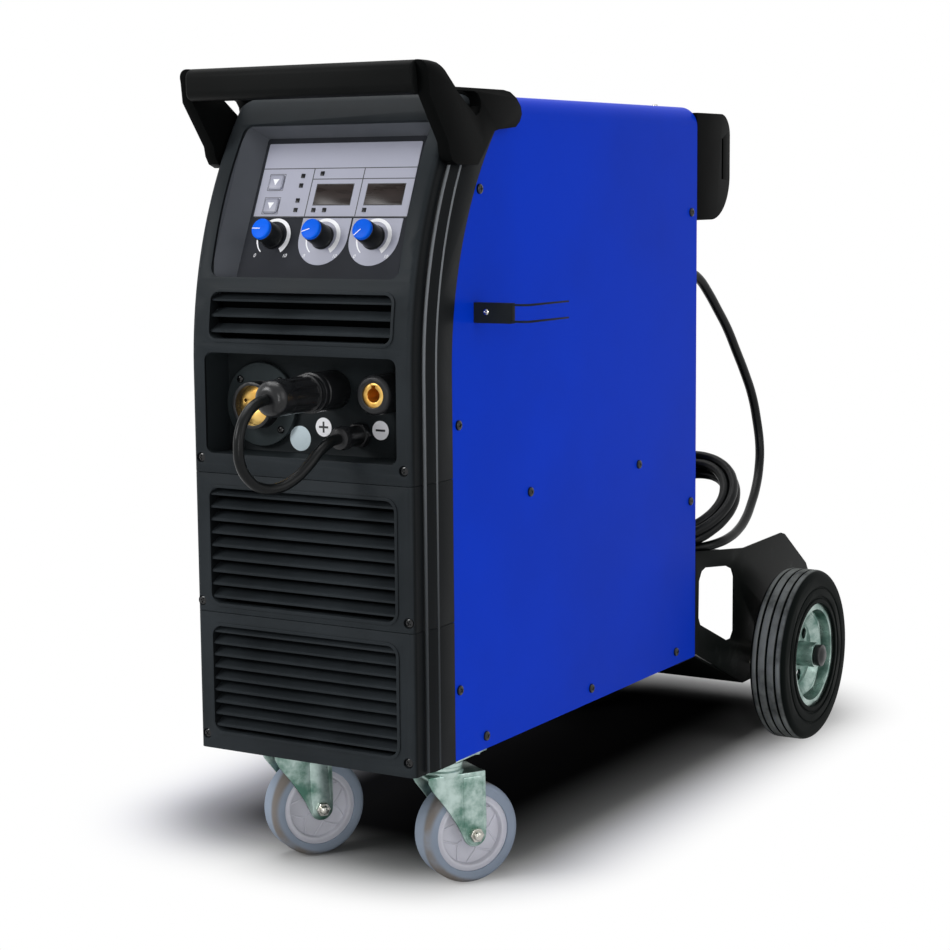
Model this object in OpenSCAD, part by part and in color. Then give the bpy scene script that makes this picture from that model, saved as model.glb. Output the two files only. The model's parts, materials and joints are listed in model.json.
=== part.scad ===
/* [Case] */
// Width across the side panels
case_w = 250; // [246:1:256]
// Height of the case underside above the floor
case_floor = 132; // [130:1:136]
// Height of the top cover above the floor
case_top = 756; // [752:1:760]
// Distance from the front face to the back of the rear panel
case_depth = 598; // [590:1:610]
// Radius of the bends along the top of the cover
corner_r = 22; // [18:1:24]
// Thickness of the case sheet
sheet_t = 1.5; // [1.2:0.1:2]
// Radius of the swept-back upper front
nose_r = 408; // [404:1:412]
// Height where the upright front turns into the sweep
nose_z = 500; // [498:1:503]
// Depth of the moulded band round the front
band_d = 66; // [64:1:68]
// Wall thickness of the front mouldings
wall = 3; // [2.6:0.1:3.4]

/* [Front] */
// Height of the joint between the upper and middle mouldings
seam_upper = 402; // [400:1:404]
// Height of the joint between the middle and lower mouldings
seam_lower = 267; // [265:1:269]
// Backward tilt of the control panel
panel_tilt = 23.5; // [22:0.5:25]
// Depth of the socket recess
recess_d = 38; // [34:1:42]
// Spacing of the three control knobs
knob_pitch = 57; // [56:0.5:58]
// Diameter of a knob's base
knob_d = 24; // [22:0.5:26]
// Height of a knob above the panel
knob_h = 24; // [20:1:26]
// Outside diameter of an output socket
socket_d = 37; // [35:0.5:38]
// Diameter of the torch socket flange
flange_d = 80; // [76:1:82]

/* [Wire feed] */
// Teeth on each feed gear
gear_teeth = 25; // [25:2:27]
// Gear module
gear_module = 1.24; // [1.2:0.02:1.26]
// Diameter of the spool hub
hub_d = 50; // [48:0.5:51]
// Largest opening of the wire compartment door
door_swing = 110; // [90:5:120]

/* [Running gear] */
// Diameter of a rear wheel
wheel_d = 206; // [200:1:208]
// Width of a rear tyre
tyre_w = 45; // [40:1:48]
// Diameter of a caster wheel
caster_d = 100; // [98:1:102]
// Distance from a caster's swivel to its wheel axle
caster_trail = 26; // [22:1:28]
// Rest heading of the casters, turned from straight back
caster_heading = 32; // [0:1:45]
// Height of the cylinder deck's upper face
deck_z = 76; // [72:1:80]
// Back edge of the cylinder deck
deck_back = 938; // [930:1:940]

/* [Handle] */
// Height of the top of the handle bar
handle_top = 782; // [776:1:788]
// Distance between the outer faces of the handle brackets
handle_w = 276; // [272:1:280]

/* [Cords] */
// Diameter of the mains cable
cable_d = 11; // [10:0.5:11.5]
// Diameter of the polarity lead
lead_d = 10; // [9:0.5:10.5]

/* [Hidden] */
$fn = 48;

half_w = case_w / 2;
half_in = half_w - sheet_t;
band_r = nose_r - band_d;
lip = 1.2;
front_y = -(deck_back - lip) / 2;
running = 0.05;
mate = 0.3;
plastic = [0.13, 0.14, 0.15];
case_blue = [0.09, 0.17, 0.68];
zinc = [0.72, 0.76, 0.74];
brass_c = [0.80, 0.62, 0.28];

// Control panel plane: its centre lies panel_sink behind the chord of the sweep
panel_sink = 20;
panel_lo = 588;
panel_hi = 731;
chord_d = (nose_depth(panel_lo) + nose_depth(panel_hi)) / 2;
chord_z = (panel_lo + panel_hi) / 2;
panel_d = chord_d + panel_sink * cos(panel_tilt);
panel_z = chord_z - panel_sink * sin(panel_tilt);
plate_t = 3;
overlay_t = 0.8;
pocket_in = [182, 144];
pocket_out = [212, 156];
knob_x = [-knob_pitch - 1, -1, knob_pitch - 1];
knob_u = -30;
button_x = -69;
button_u = [26, 2];
button_size = [16.4, 15];
button_travel = 1;
display_x = [0, 57.5];
display_u = 13.2;
display_size = [41, 20.5];
led_spots = [[-39.5, 32.4], [-39.5, 22.6], [-39.5, 7.4], [-39.5, -2.4],
             [-17.8, 34.7], [-18.9, -2.5], [-6.5, -2.5], [38.4, -2.5]];
led_size = 4.4;

torch_pos = [-67, 466];
socket_x = [15, 80];
socket_z = 483;
socket_front = 4;
lead_gland_pos = [45, 442];
mains_gland_pos = [95, 570];
gland_len = 30;

// Wire feed: the wire runs along Y at torch_pos
divider_x = -10.5;
gear_r = gear_teeth * gear_module / 2;
feed_y = 185;
roll_z = torch_pos[1] - gear_r;
idler_z = torch_pos[1] + gear_r;
feed_plate_x = -44;
arm_pivot = [228, 486];
lever_pivot = [144, 442];
lever_x = -80;
hub_pos = [395, 515];

// Door opening in the left panel
door_y = [172, 556];
door_z = [302, 698];
door_gap = 1.5;
hinge_y = 557;
hinge_x = -half_w - 5;
latch_pos = [190, 500];

// Running gear
axle_y = 794.6;
axle_z = wheel_d / 2;
wheel_x = 172.5;
caster_x = 90;
caster_y = 99;
caster_r = caster_d / 2;
fork_gap = 17.6;
shelf_z = 236;

// Rear panel fittings
fan_pos = [52, 300];
switch_pos = [-60, 590];
gas_pos = [-60, 500];

// Mains cable route, as points [x, distance behind the front face, z]
cable_route = [[95, 628, 570], [95, 648, 569], [96, 668, 561], [97, 690, 545], [98, 714, 524],
               [99, 740, 500], [100, 764, 472], [101, 788, 443], [102, 808, 414], [104, 818, 384],
               [108, 819, 350], [112, 808, 326], [117, 788, 305], [121, 762, 287], [122, 730, 273],
               [121, 698, 262], [117, 668, 254], [113, 646, 251], [102, 626, 254]];
// Cable coil, its front edge on the shelf and its back edge held up by the cable
coil_pos = [66, 672, 296];
coil_lean = 37;
coil_mid_r = 6 * cable_d;
coil_sec = [2 * cable_d, 3 * cable_d];

// Polarity lead route, from the gland to the back of the plug
plug_back = -70;
lead_route = [[45, -1.2, 442], [45, -14, 440.5], [43.5, -28, 434], [40, -42.5, 421.5], [34, -57, 410],
              [27, -73, 404], [21, -88.5, 406], [17, -101, 415], [15, -109.5, 428.5], [15, -112, 443.5],
              [15, -109, 458.5], [15, -100.5, 471], [15, -87, 479.7], [15, -71.2, 483]];

function nose_depth(z, r = nose_r) = nose_r - sqrt(r * r - pow(max(0, z - nose_z), 2));
function involute(r, rb) = let (c = acos(rb / r)) tan(c) * 180 / PI - c;

// --- placing helpers: D is measured back from the front face ---
module placed() translate([0, front_y, 0]) children();
module box(x, y, z) translate([x[0], y[0], z[0]]) cube([x[1] - x[0], y[1] - y[0], z[1] - z[0]]);
module along_x(x0, x1) translate([x0, 0, 0]) rotate([90, 0, 90]) linear_extrude(x1 - x0) children();
module along_y(y0, y1) translate([0, y1, 0]) rotate([90, 0, 0]) linear_extrude(y1 - y0) children();
module rod_x(x0, x1, y, z, r) translate([x0, y, z]) rotate([0, 90, 0]) cylinder(h = x1 - x0, r = r);
module rod_y(y0, y1, x, z, r) translate([x, y1, z]) rotate([90, 0, 0]) cylinder(h = y1 - y0, r = r);
module rod_z(z0, z1, x, y, r) translate([x, y, z0]) cylinder(h = z1 - z0, r = r);
module both_sides() { children(); mirror([1, 0, 0]) children(); }
module on_panel() translate([0, panel_d, panel_z]) rotate([90 - panel_tilt, 0, 0]) children();

// Rectangle about the origin with rounded corners
module round_rect(w, h, r) {
    square([w - 2 * r, h], center = true);
    square([w, h - 2 * r], center = true);
    for (sx = [-1, 1], sy = [-1, 1]) translate([sx * (w / 2 - r), sy * (h / 2 - r)]) circle(r);
}
module round_box_yz(x, y, z, r) along_x(x[0], x[1])
    translate([(y[0] + y[1]) / 2, (z[0] + z[1]) / 2]) round_rect(y[1] - y[0], z[1] - z[0], r);
module round_box_xz(x, y, z, r) along_y(y[0], y[1])
    translate([(x[0] + x[1]) / 2, (z[0] + z[1]) / 2]) round_rect(x[1] - x[0], z[1] - z[0], r);

// A closed tube of radius r along points, with sides flat sides
function unit(v) = v / norm(v);
function tangent(p, i) = unit(p[min(i + 1, len(p) - 1)] - p[max(i - 1, 0)]);
function frame_up(t) = abs(t[2]) < 0.9 ? [0, 0, 1] : [1, 0, 0];
function carried(p, i) = i == 0 ? unit(cross(frame_up(tangent(p, 0)), tangent(p, 0)))
    : let (n = carried(p, i - 1), t = tangent(p, i)) unit(n - (n * t) * t);
function spline_at(p, i, t) = let (
    a = p[max(i - 1, 0)], b = p[i], c = p[i + 1], d = p[min(i + 2, len(p) - 1)])
    0.5 * (2 * b + (c - a) * t + (2 * a - 5 * b + 4 * c - d) * t * t + (3 * b - a - 3 * c + d) * t * t * t);
function smooth_route(p, n) = [for (i = [0:len(p) - 2], k = [0:n - 1]) spline_at(p, i, k / n), p[len(p) - 1]];
module swept_tube(route, r, sides, steps) {
    p = smooth_route(route, steps);
    rings = [for (i = [0:len(p) - 1])
        let (t = tangent(p, i), n = carried(p, i), b = cross(t, n))
        [for (k = [0:sides - 1]) p[i] + r * (cos(k * 360 / sides) * n + sin(k * 360 / sides) * b)]];
    last = len(rings) - 1;
    polyhedron(
        points = [for (ring = rings, q = ring) q],
        faces = concat(
            [[for (k = [0:sides - 1]) k]],
            [for (i = [0:last - 1], k = [0:sides - 1]) let (m = (k + 1) % sides)
                [i * sides + k, (i + 1) * sides + k, (i + 1) * sides + m, i * sides + m]],
            [[for (k = [sides - 1:-1:0]) last * sides + k]]));
}

// --- case ---

// Upright front and swept-back top, from a 2-D outline in (r, s): r is the distance
// from the sweep's centre line and s the distance along X
module nose_sweep(z0) {
    translate([0, nose_r, z0]) linear_extrude(nose_z - z0) rotate(-90) children();
    translate([0, nose_r, nose_z]) rotate([90, 0, -90]) rotate_extrude(angle = 52, $fn = 96) children();
}
module front_outline() {
    polygon([[band_r, -127], [band_r, 127], [nose_r - 30, 127], [nose_r - 22, 124], [nose_r - 6, 124],
             [nose_r - 6, -124], [nose_r - 22, -124], [nose_r - 30, -127]]);
    translate([nose_r - 12, -118]) square([12, 236]);
    for (s = [-118, 118]) translate([nose_r - 6, s]) circle(6);
}
module front_hollow() translate([band_r - 1, -121]) square([band_d - wall + 1, 242]);
module top_shape(half, top, r, z0) {
    translate([-half, z0]) square([2 * half, top - r - z0]);
    translate([-half + r, z0]) square([2 * half - 2 * r, top - z0]);
    for (s = [-1, 1]) translate([s * (half - r), top - r]) circle(r);
}
module nose_solid() intersection() {
    nose_sweep(case_floor) front_outline();
    along_y(-1, 200) top_shape(127, case_top, corner_r + 2, case_floor);
}
module nose_cavity() intersection() {
    nose_sweep(case_floor - 1) front_hollow();
    along_y(-1, 200) top_shape(121, case_top - wall, corner_r - 1, case_floor - 1);
}
module nose_skin(grow) nose_sweep(case_floor) translate([nose_r - 30, -110]) square([30 + grow, 220]);
module behind_band() {
    box([-130, 130], [band_d, case_depth], [0, nose_z]);
    rod_x(-130, 130, nose_r, nose_z, band_r, $fn = 96);
    box([-130, 130], [nose_r, case_depth], [nose_z, 800]);
}
module case_envelope() {
    nose_solid();
    intersection() {
        along_y(60, case_depth) top_shape(half_w, case_top, corner_r, case_floor);
        behind_band();
    }
}
module slice_z(z0, z1) intersection() {
    children();
    box([-200, 200], [-200, 700], [z0, z1]);
}

// Louvred opening: a hole, a proud rim round it and slanted slats that fall towards the front
module grille_hole(half, z, r) round_box_xz([-half, half], [-5, 20], z, r);
module grille_rim(half, z, r) difference() {
    round_box_xz([-half - 3, half + 3], [-lip, 14], [z[0] - 3, z[1] + 3], r + 3);
    round_box_xz([-half, half], [-lip - 1, 15], z, r);
}
module slats(half, z, count, front) {
    pitch = (z[1] - z[0]) / count;
    for (i = [0:count - 1])
        let (low = z[0] + (i + 0.4) * pitch, f = nose_depth(low) + front)
            along_x(-half - 1, half + 1)
                polygon([[f, low], [f, low + 2], [f + 12, low + 8], [f + 12, low + 6]]);
}
grille_low = [150, 254];
grille_mid = [276, 388];
grille_top = [530, 574];
screw_front = [[116, 145.5], [118, 276.5], [115, 416]];
module screw_boss(x, z) for (s = [-1, 1]) rod_y(wall - 1, band_d, s * x, z, 5.5);
module screw_holes(x, z) for (s = [-1, 1]) {
    rod_y(-1, 3, s * x, z, 5);
    rod_y(-1, band_d + 1, s * x, z, 2.1);
}

module front_panel_lower() color(plastic) placed() difference() {
    union() {
        difference() {
            slice_z(case_floor, seam_lower - 0.3) difference() { nose_solid(); nose_cavity(); }
            grille_hole(105, grille_low, 10);
        }
        grille_rim(105, grille_low, 10);
        slats(105, grille_low, 9, 1);
        screw_boss(screw_front[0][0], screw_front[0][1]);
        box([-122, 122], [wall, band_d], [case_floor, case_floor + wall]);
    }
    screw_holes(screw_front[0][0], screw_front[0][1]);
}
module front_panel_middle() color(plastic) placed() difference() {
    union() {
        difference() {
            slice_z(seam_lower + 0.3, seam_upper - 0.3) difference() { nose_solid(); nose_cavity(); }
            grille_hole(105, grille_mid, 10);
        }
        grille_rim(105, grille_mid, 10);
        slats(105, grille_mid, 9, 1);
        screw_boss(screw_front[1][0], screw_front[1][1]);
    }
    screw_holes(screw_front[1][0], screw_front[1][1]);
}

// Control panel pocket: straight sides above the mouth, sloping walls down to the floor
module wedge(w0, w1, t, long) rotate([90, 0, 0]) translate([0, 0, -long]) linear_extrude(2 * long)
    polygon([[-w0 / 2, 0], [w0 / 2, 0], [w1 / 2, t], [-w1 / 2, t]]);
module pocket_prism(grow, low) intersection() {
    union() {
        intersection() {
            wedge(pocket_in[0] + 2 * grow, pocket_out[0] + 2 * grow, panel_sink, 120);
            rotate([0, 0, 90]) wedge(pocket_in[1] + 2 * grow, pocket_out[1] + 2 * grow, panel_sink, 120);
        }
        translate([0, 0, panel_sink - 0.01]) linear_extrude(60)
            square([pocket_out[0] + 2 * grow, pocket_out[1] + 2 * grow], center = true);
        translate([0, 0, low]) linear_extrude(0.01 - low)
            square([pocket_in[0] + 2 * grow, pocket_in[1] + 2 * grow], center = true);
    }
    translate([0, 0, low]) linear_extrude(100)
        round_rect(pocket_out[0] + 2 * grow, pocket_out[1] + 2 * grow, 10 + grow);
}
recess = [[-108, 108], [421, 517]];
module front_panel_upper() color(plastic) placed() difference() {
    union() {
        difference() {
            slice_z(seam_upper + 0.3, 800) difference() { nose_solid(); nose_cavity(); }
            grille_hole(102, grille_top, 8);
        }
        intersection() {
            grille_block(102, grille_top, 8);
            nose_skin(lip);
        }
        slats(102, grille_top, 3, 2);
        screw_boss(screw_front[2][0], screw_front[2][1]);
    }
    round_box_xz(recess[0], [-5, wall + 2], recess[1], 8);
    on_panel() pocket_prism(0, 0);
    screw_holes(screw_front[2][0], screw_front[2][1]);
}
// Tub behind the recess opening; it seats on the inside of the upper moulding
module socket_recess() color(plastic) placed() difference() {
    intersection() {
        round_box_xz([recess[0][0] - wall, recess[0][1] + wall], [0, recess_d + wall],
                     [recess[1][0] - wall, recess[1][1] + wall], 8 + wall);
        nose_cavity();
    }
    round_box_xz(recess[0], [-5, recess_d], recess[1], 8);
    rod_y(recess_d - 1, recess_d + wall + 1, torch_pos[0], torch_pos[1], 20);
    for (x = socket_x) rod_y(recess_d - 1, recess_d + wall + 1, x, socket_z, 13);
    rod_y(recess_d - 1, recess_d + wall + 1, lead_gland_pos[0], lead_gland_pos[1], 7);
}
module grille_block(half, z, r) difference() {
    round_box_xz([-half - 3, half + 3], [-5, 16], [z[0] - 3, z[1] + 3], r + 3);
    round_box_xz([-half, half], [-6, 17], z, r);
}

module cover_panel() color(case_blue) placed() intersection() {
    along_y(band_d - 1, case_depth) difference() {
        top_shape(half_w, case_top, corner_r, case_floor);
        top_shape(half_in, case_top - sheet_t, corner_r - sheet_t, case_floor - 1);
        translate([-half_w - 1, 0]) square([60, 716.4]);
    }
    behind_band();
}
module left_panel() color(case_blue) placed() {
    difference() {
        intersection() {
            box([-half_w, -half_in], [band_d, case_depth], [case_floor, 716]);
            behind_band();
        }
        box([-130, -120], [door_y[0] - door_gap, door_y[1] + door_gap + 2.5],
            [door_z[0] - door_gap, door_z[1] + door_gap]);
    }
    for (z = hinge_heights) {
        hinge_leaf(z - 24, z - 8.4, 1);
        hinge_leaf(z + 8.4, z + 24, 1);
        rod_z(z - 24, z + 24, hinge_x, hinge_y, 2);
    }
}
hinge_heights = [360, 640];
module hinge_leaf(z0, z1, side) difference() {
    union() {
        rod_z(z0, z1, hinge_x, hinge_y, 4.5);
        box([-half_w - 1.5, -half_w], side > 0 ? [hinge_y, hinge_y + 22] : [hinge_y - 22, hinge_y], [z0, z1]);
        box([hinge_x, -half_w], side > 0 ? [hinge_y + 1, hinge_y + 4.4] : [hinge_y - 4.4, hinge_y - 1], [z0, z1]);
    }
    if (side < 0) rod_z(z0 - 1, z1 + 1, hinge_x, hinge_y, 2 + running);
}
module access_door() color(case_blue) placed() {
    difference() {
        union() {
            box([-half_w, -half_in], door_y, door_z);
            box([-half_in, -half_in + 11], [door_y[0] + 12, door_y[1]], [door_z[0], door_z[0] + sheet_t]);
            box([-half_in, -half_in + 11], [door_y[0] + 12, door_y[1]], [door_z[1] - sheet_t, door_z[1]]);
            box([-half_in, -half_in + 11], [door_y[1] - sheet_t, door_y[1]], door_z);
        }
        rod_x(-130, -110, latch_pos[0], latch_pos[1], 4 + running);
    }
    for (z = hinge_heights) hinge_leaf(z - 8, z + 8, -1);
}
module door_latch() color(plastic) placed() {
    rod_x(-half_w - 3.3, -half_in + 3, latch_pos[0], latch_pos[1], 4);
    rod_x(-half_w - 5, -half_w - mate, latch_pos[0], latch_pos[1], 15);
    round_box_yz([-half_w - 16, -half_w - 4], [latch_pos[0] - 4.5, latch_pos[0] + 4.5],
                 [latch_pos[1] - 14, latch_pos[1] + 14], 4);
    round_box_yz([-half_in + mate, -half_in + 2.5], [latch_pos[0] - 7, latch_pos[0] + 7],
                 [latch_pos[1] - 31, latch_pos[1] + 8], 6);
}

module chassis() color(zinc) placed() difference() {
    union() {
        box([-half_in, half_in], [band_d, case_depth - sheet_t], [case_floor, case_floor + 2]);
        both_sides() box([half_in - 2, half_in], [band_d + 1, case_depth - sheet_t], [case_floor, case_floor + 22]);
        box([-half_in, half_in], [band_d, band_d + 2], [case_floor, recess[1][0] + 3]);
        box([divider_x - sheet_t, divider_x], [band_d, case_depth - sheet_t], [case_floor, 498]);
        box([divider_x - sheet_t, divider_x], [185, case_depth - sheet_t], [497, 745]);
        rod_x(divider_x - 96, divider_x - 0.5, hub_pos[0], hub_pos[1], 8);
        rod_x(divider_x - 3, divider_x - 1, hub_pos[0], hub_pos[1], 20);
    }
    box([-104, divider_x - 8], [band_d - 1, band_d + 3], [152, 252]);
    box([divider_x + 8, 104], [band_d - 1, band_d + 3], [152, 252]);
    box([-104, divider_x - 8], [band_d - 1, band_d + 3], [280, 385]);
    box([divider_x + 8, 104], [band_d - 1, band_d + 3], [280, 385]);
    for (p = screw_front, s = [-1, 1]) rod_y(band_d - 1, band_d + 3, s * p[0], p[1], 2.1);
    rod_x(divider_x - 3, divider_x + 1, feed_y, roll_z, 33);
    for (p = deck_bolts) rod_z(case_floor - 1, case_floor + 3, p[0], p[1], 3);
}

module rear_panel() color(case_blue) placed() {
    difference() {
        along_y(case_depth - sheet_t, case_depth)
            top_shape(half_in, case_top - sheet_t, corner_r - sheet_t, case_floor + 0.01);
        rod_y(case_depth - 3, case_depth + 1, fan_pos[0], fan_pos[1], 55);
        rod_y(case_depth - 3, case_depth + 1, mains_gland_pos[0], mains_gland_pos[1], 8);
        rod_y(case_depth - 3, case_depth + 1, gas_pos[0], gas_pos[1], 5);
        rod_y(case_depth - 3, case_depth + 1, switch_pos[0], switch_pos[1], 5 + running);
        for (i = [0:5]) round_box_xz([-100, -30], [case_depth - 3, case_depth + 1], [300 + 14 * i, 305 + 14 * i], 2.4);
    }
    difference() {
        round_box_xz([switch_pos[0] - 24, switch_pos[0] + 24], [case_depth, case_depth + 4],
                     [switch_pos[1] - 24, switch_pos[1] + 24], 5);
        rod_y(case_depth - 1, case_depth + 5, switch_pos[0], switch_pos[1], 5 + running);
    }
}
module switch_knob() color(plastic) placed() {
    rod_y(case_depth - 12, case_depth + 6, switch_pos[0], switch_pos[1], 5);
    rod_y(case_depth + 4 + mate, case_depth + 14, switch_pos[0], switch_pos[1], 17);
    round_box_xz([switch_pos[0] - 5, switch_pos[0] + 5], [case_depth + 12, case_depth + 26],
                 [switch_pos[1] - 16, switch_pos[1] + 16], 4);
}
module gas_inlet() color(brass_c) placed() difference() {
    union() {
        rod_y(case_depth - 12, case_depth + 6, gas_pos[0], gas_pos[1], 5);
        rod_y(case_depth, case_depth + 7, gas_pos[0], gas_pos[1], 9, $fn = 6);
        rod_y(case_depth + 6, case_depth + 30, gas_pos[0], gas_pos[1], 3.4);
        for (i = [0:3]) translate([gas_pos[0], case_depth + 10 + 5 * i, gas_pos[1]]) rotate([-90, 0, 0])
            cylinder(h = 5, r1 = 4.2, r2 = 3.4);
    }
    rod_y(case_depth - 13, case_depth + 31, gas_pos[0], gas_pos[1], 2);
}

// --- control panel ---
// Tray with the panel plate as its floor; its sloping walls end inside the upper moulding
module control_panel() color(plastic) placed() {
    intersection() {
        on_panel() difference() {
            pocket_prism(wall, -plate_t);
            pocket_prism(0, 0);
            for (u = button_u) translate([button_x, u, -5]) linear_extrude(10)
                round_rect(button_size[0] + 0.6, button_size[1] + 0.6, 3);
        }
        nose_cavity();
    }
    for (x = knob_x) on_panel() translate([x, knob_u, -plate_t]) cylinder(h = plate_t + 14, r = 3);
}
module panel_overlay() color([0.55, 0.54, 0.59]) placed() on_panel() difference() {
    translate([0, 28.25, 0]) linear_extrude(overlay_t) round_rect(174, 75.5, 1.5);
    for (u = button_u) translate([button_x, u, -1]) linear_extrude(4)
        round_rect(button_size[0] + 0.6, button_size[1] + 0.6, 3);
    for (x = display_x) translate([x, display_u, -1]) linear_extrude(4) square(display_size, center = true);
    for (p = led_spots) translate([p[0], p[1], -1]) linear_extrude(4) square(led_size, center = true);
}
module display_lenses() color([0.12, 0.02, 0.03]) placed() on_panel() {
    for (x = display_x) translate([x, display_u, 0]) linear_extrude(1.3) square(display_size, center = true);
    for (p = led_spots) translate([p[0], p[1], 0]) linear_extrude(1.4) square(led_size, center = true);
}
module knob(i) color(plastic) placed() on_panel() translate([knob_x[i], knob_u, 0]) difference() {
    union() {
        translate([0, 0, 0.6]) cylinder(h = 3, d = knob_d);
        translate([0, 0, 3.6]) cylinder(h = knob_h - 8, d1 = knob_d - 1, d2 = knob_d - 3);
    }
    translate([0, 0, -1]) cylinder(h = 15.3, r = 3 + running);
}
module knob_cap(i, angle) color([0.05, 0.4, 0.9]) placed() on_panel()
    translate([knob_x[i], knob_u, knob_h - 4.4]) rotate(angle) {
        cylinder(h = 3.4, d = knob_d - 4);
        translate([2, -1, 3.4]) cube([knob_d / 2 - 4.5, 2, 0.8]);
    }
knob_rest = [180, 200, 225];
module knob_left() knob(0);
module knob_middle() knob(1);
module knob_right() knob(2);
module knob_cap_left() knob_cap(0, knob_rest[0]);
module knob_cap_middle() knob_cap(1, knob_rest[1]);
module knob_cap_right() knob_cap(2, knob_rest[2]);
module button(u) color(plastic) placed() on_panel() translate([button_x, u, 0]) {
    translate([0, 0, -plate_t - 2]) linear_extrude(plate_t + 4.2) round_rect(button_size[0], button_size[1], 3);
    translate([0, 0, -plate_t - 2.5]) linear_extrude(2.2) square([button_size[0] + 3, button_size[1] + 3], center = true);
}
module button_upper() button(button_u[0]);
module button_lower() button(button_u[1]);

// --- sockets and polarity lead ---
module socket_bodies() color(plastic) placed() {
    difference() {
        union() {
            rod_y(recess_d - 5, recess_d, torch_pos[0], torch_pos[1], flange_d / 2);
            rod_y(recess_d - 20, recess_d - 5, torch_pos[0], torch_pos[1], 22.5);
            rod_y(recess_d, band_d + 6, torch_pos[0], torch_pos[1], 13.5);
        }
        rod_y(recess_d - 21, recess_d - 6, torch_pos[0], torch_pos[1], 19.2);
        rod_y(recess_d - 7, band_d + 7, torch_pos[0], torch_pos[1], 9);
        for (a = [45:90:315]) rod_y(recess_d - 6, recess_d + 1,
            torch_pos[0] + 33 * cos(a), torch_pos[1] + 33 * sin(a), 2.1);
    }
    for (x = socket_x) difference() {
        union() {
            rod_y(socket_front + 3, recess_d, x, socket_z, socket_d / 2);
            translate([x, socket_front, socket_z]) rotate([-90, 0, 0])
                cylinder(h = 3, r1 = socket_d / 2 - 2.5, r2 = socket_d / 2);
            rod_y(recess_d, band_d - 1, x, socket_z, 12.8);
        }
        rod_y(socket_front - 1, band_d, x, socket_z, 11.5);
    }
}
module socket_contacts() color(brass_c) placed() {
    for (x = socket_x) difference() {
        rod_y(socket_front + 1.5, band_d + 12, x, socket_z, 11.5);
        rod_y(socket_front, socket_front + 33, x, socket_z, 6.6);
        box([x - 2.2, x + 2.2], [socket_front, socket_front + 20], [socket_z, socket_z + 9]);
    }
    difference() {
        union() {
            rod_y(recess_d - 12, recess_d - 6, torch_pos[0], torch_pos[1], 19);
            rod_y(recess_d - 6, band_d + 40, torch_pos[0], torch_pos[1], 8.8);
        }
        rod_y(recess_d - 13, recess_d + 22, torch_pos[0], torch_pos[1], 5);
        rod_y(recess_d + 20, band_d + 41, torch_pos[0], torch_pos[1], 2);
        for (s = [-1, 1]) rod_y(recess_d - 13, recess_d - 5, torch_pos[0] + 13 * s, torch_pos[1] + 4, 1.6);
    }
}
module polarity_plug() color(plastic) placed() {
    length = socket_front - plug_back;
    translate([socket_x[0], socket_front, socket_z]) rotate([90, 0, 0]) {
        rotate_extrude() {
            square([19, 6]);
            translate([0, 5]) square([16, 5]);
            translate([0, 9]) square([18, 4]);
            translate([0, 12]) square([15.2, length - 30]);
            translate([0, length - 26]) square([17, 15.5]);
            translate([0, length - 11]) square([6.5, 11]);
            translate([6.5, length - 10.5]) intersection() { circle(10.5); square(10.5); }
        }
        for (a = [0:36:324]) rotate(a) translate([13, -1.8, 11]) cube([3.5, 3.6, length - 34]);
    }
    rod_y(socket_front, socket_front + 28, socket_x[0], socket_z, 6.5);
}
module polarity_lead() color(plastic) placed() swept_tube(lead_route, lead_d / 2, 12, 3);
module cable_glands() color(plastic) placed() {
    rod_y(recess_d - 8, recess_d, lead_gland_pos[0], lead_gland_pos[1], 12, $fn = 6);
    rod_y(9, recess_d - 8, lead_gland_pos[0], lead_gland_pos[1], 9.5);
    rod_y(0, 12, lead_gland_pos[0], lead_gland_pos[1], 11);
    rod_y(recess_d, recess_d + 12, lead_gland_pos[0], lead_gland_pos[1], 6.8);
    rod_y(case_depth - 12, case_depth, mains_gland_pos[0], mains_gland_pos[1], 7.8);
    rod_y(case_depth, case_depth + 6, mains_gland_pos[0], mains_gland_pos[1], 13, $fn = 6);
    rod_y(case_depth + 6, case_depth + 20, mains_gland_pos[0], mains_gland_pos[1], 10.5);
    rod_y(case_depth + 20, case_depth + gland_len, mains_gland_pos[0], mains_gland_pos[1], 8);
}

// --- wire feed ---
module spool_hub() color(plastic) placed() difference() {
    union() {
        rod_x(divider_x - 95, divider_x - 3 - mate, hub_pos[0], hub_pos[1], hub_d / 2);
        rod_x(divider_x - 8, divider_x - 3 - mate, hub_pos[0], hub_pos[1], hub_d / 2 + 10);
        rod_x(divider_x - 16, divider_x - 7, hub_pos[0] + 42, hub_pos[1], 5);
        box([divider_x - 8, divider_x - 3 - mate], [hub_pos[0], hub_pos[0] + 42], [hub_pos[1] - 5, hub_pos[1] + 5]);
        rod_x(divider_x - 8, divider_x - 3 - mate, hub_pos[0] + 42, hub_pos[1], 5);
    }
    rod_x(divider_x - 96.5, divider_x, hub_pos[0], hub_pos[1], 8 + running);
}
module gear(turn) rotate(turn) {
    rb = gear_r * cos(20);
    ra = gear_r + gear_module * 0.9;
    circle(gear_r - 1.2 * gear_module);
    for (i = [0:gear_teeth - 1]) rotate(i * 360 / gear_teeth) polygon(concat(
        [for (k = [0:5]) flank(max(rb, gear_r - 1.15 * gear_module) + k * (ra - rb) / 5, rb, 1)],
        [for (k = [5:-1:0]) flank(max(rb, gear_r - 1.15 * gear_module) + k * (ra - rb) / 5, rb, -1)]));
}
function flank(r, rb, side) = let (a = 90 / gear_teeth - 0.5 + involute(gear_r, rb) - involute(r, rb))
    [r * cos(a), side * r * sin(a)];
module feed_roll(z) {
    difference() {
        rod_x(torch_pos[0] - 6, torch_pos[0] + 6, feed_y, z, gear_r - 0.3);
        for (x = [-2.5, 2.5]) translate([torch_pos[0] + x, feed_y, z]) rotate([0, 90, 0])
            rotate_extrude() translate([gear_r - 0.3, 0]) circle(0.6);
        children();
    }
    difference() {
        along_x(torch_pos[0] + 6, torch_pos[0] + 14) translate([feed_y, z]) gear(90);
        children();
    }
}
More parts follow.
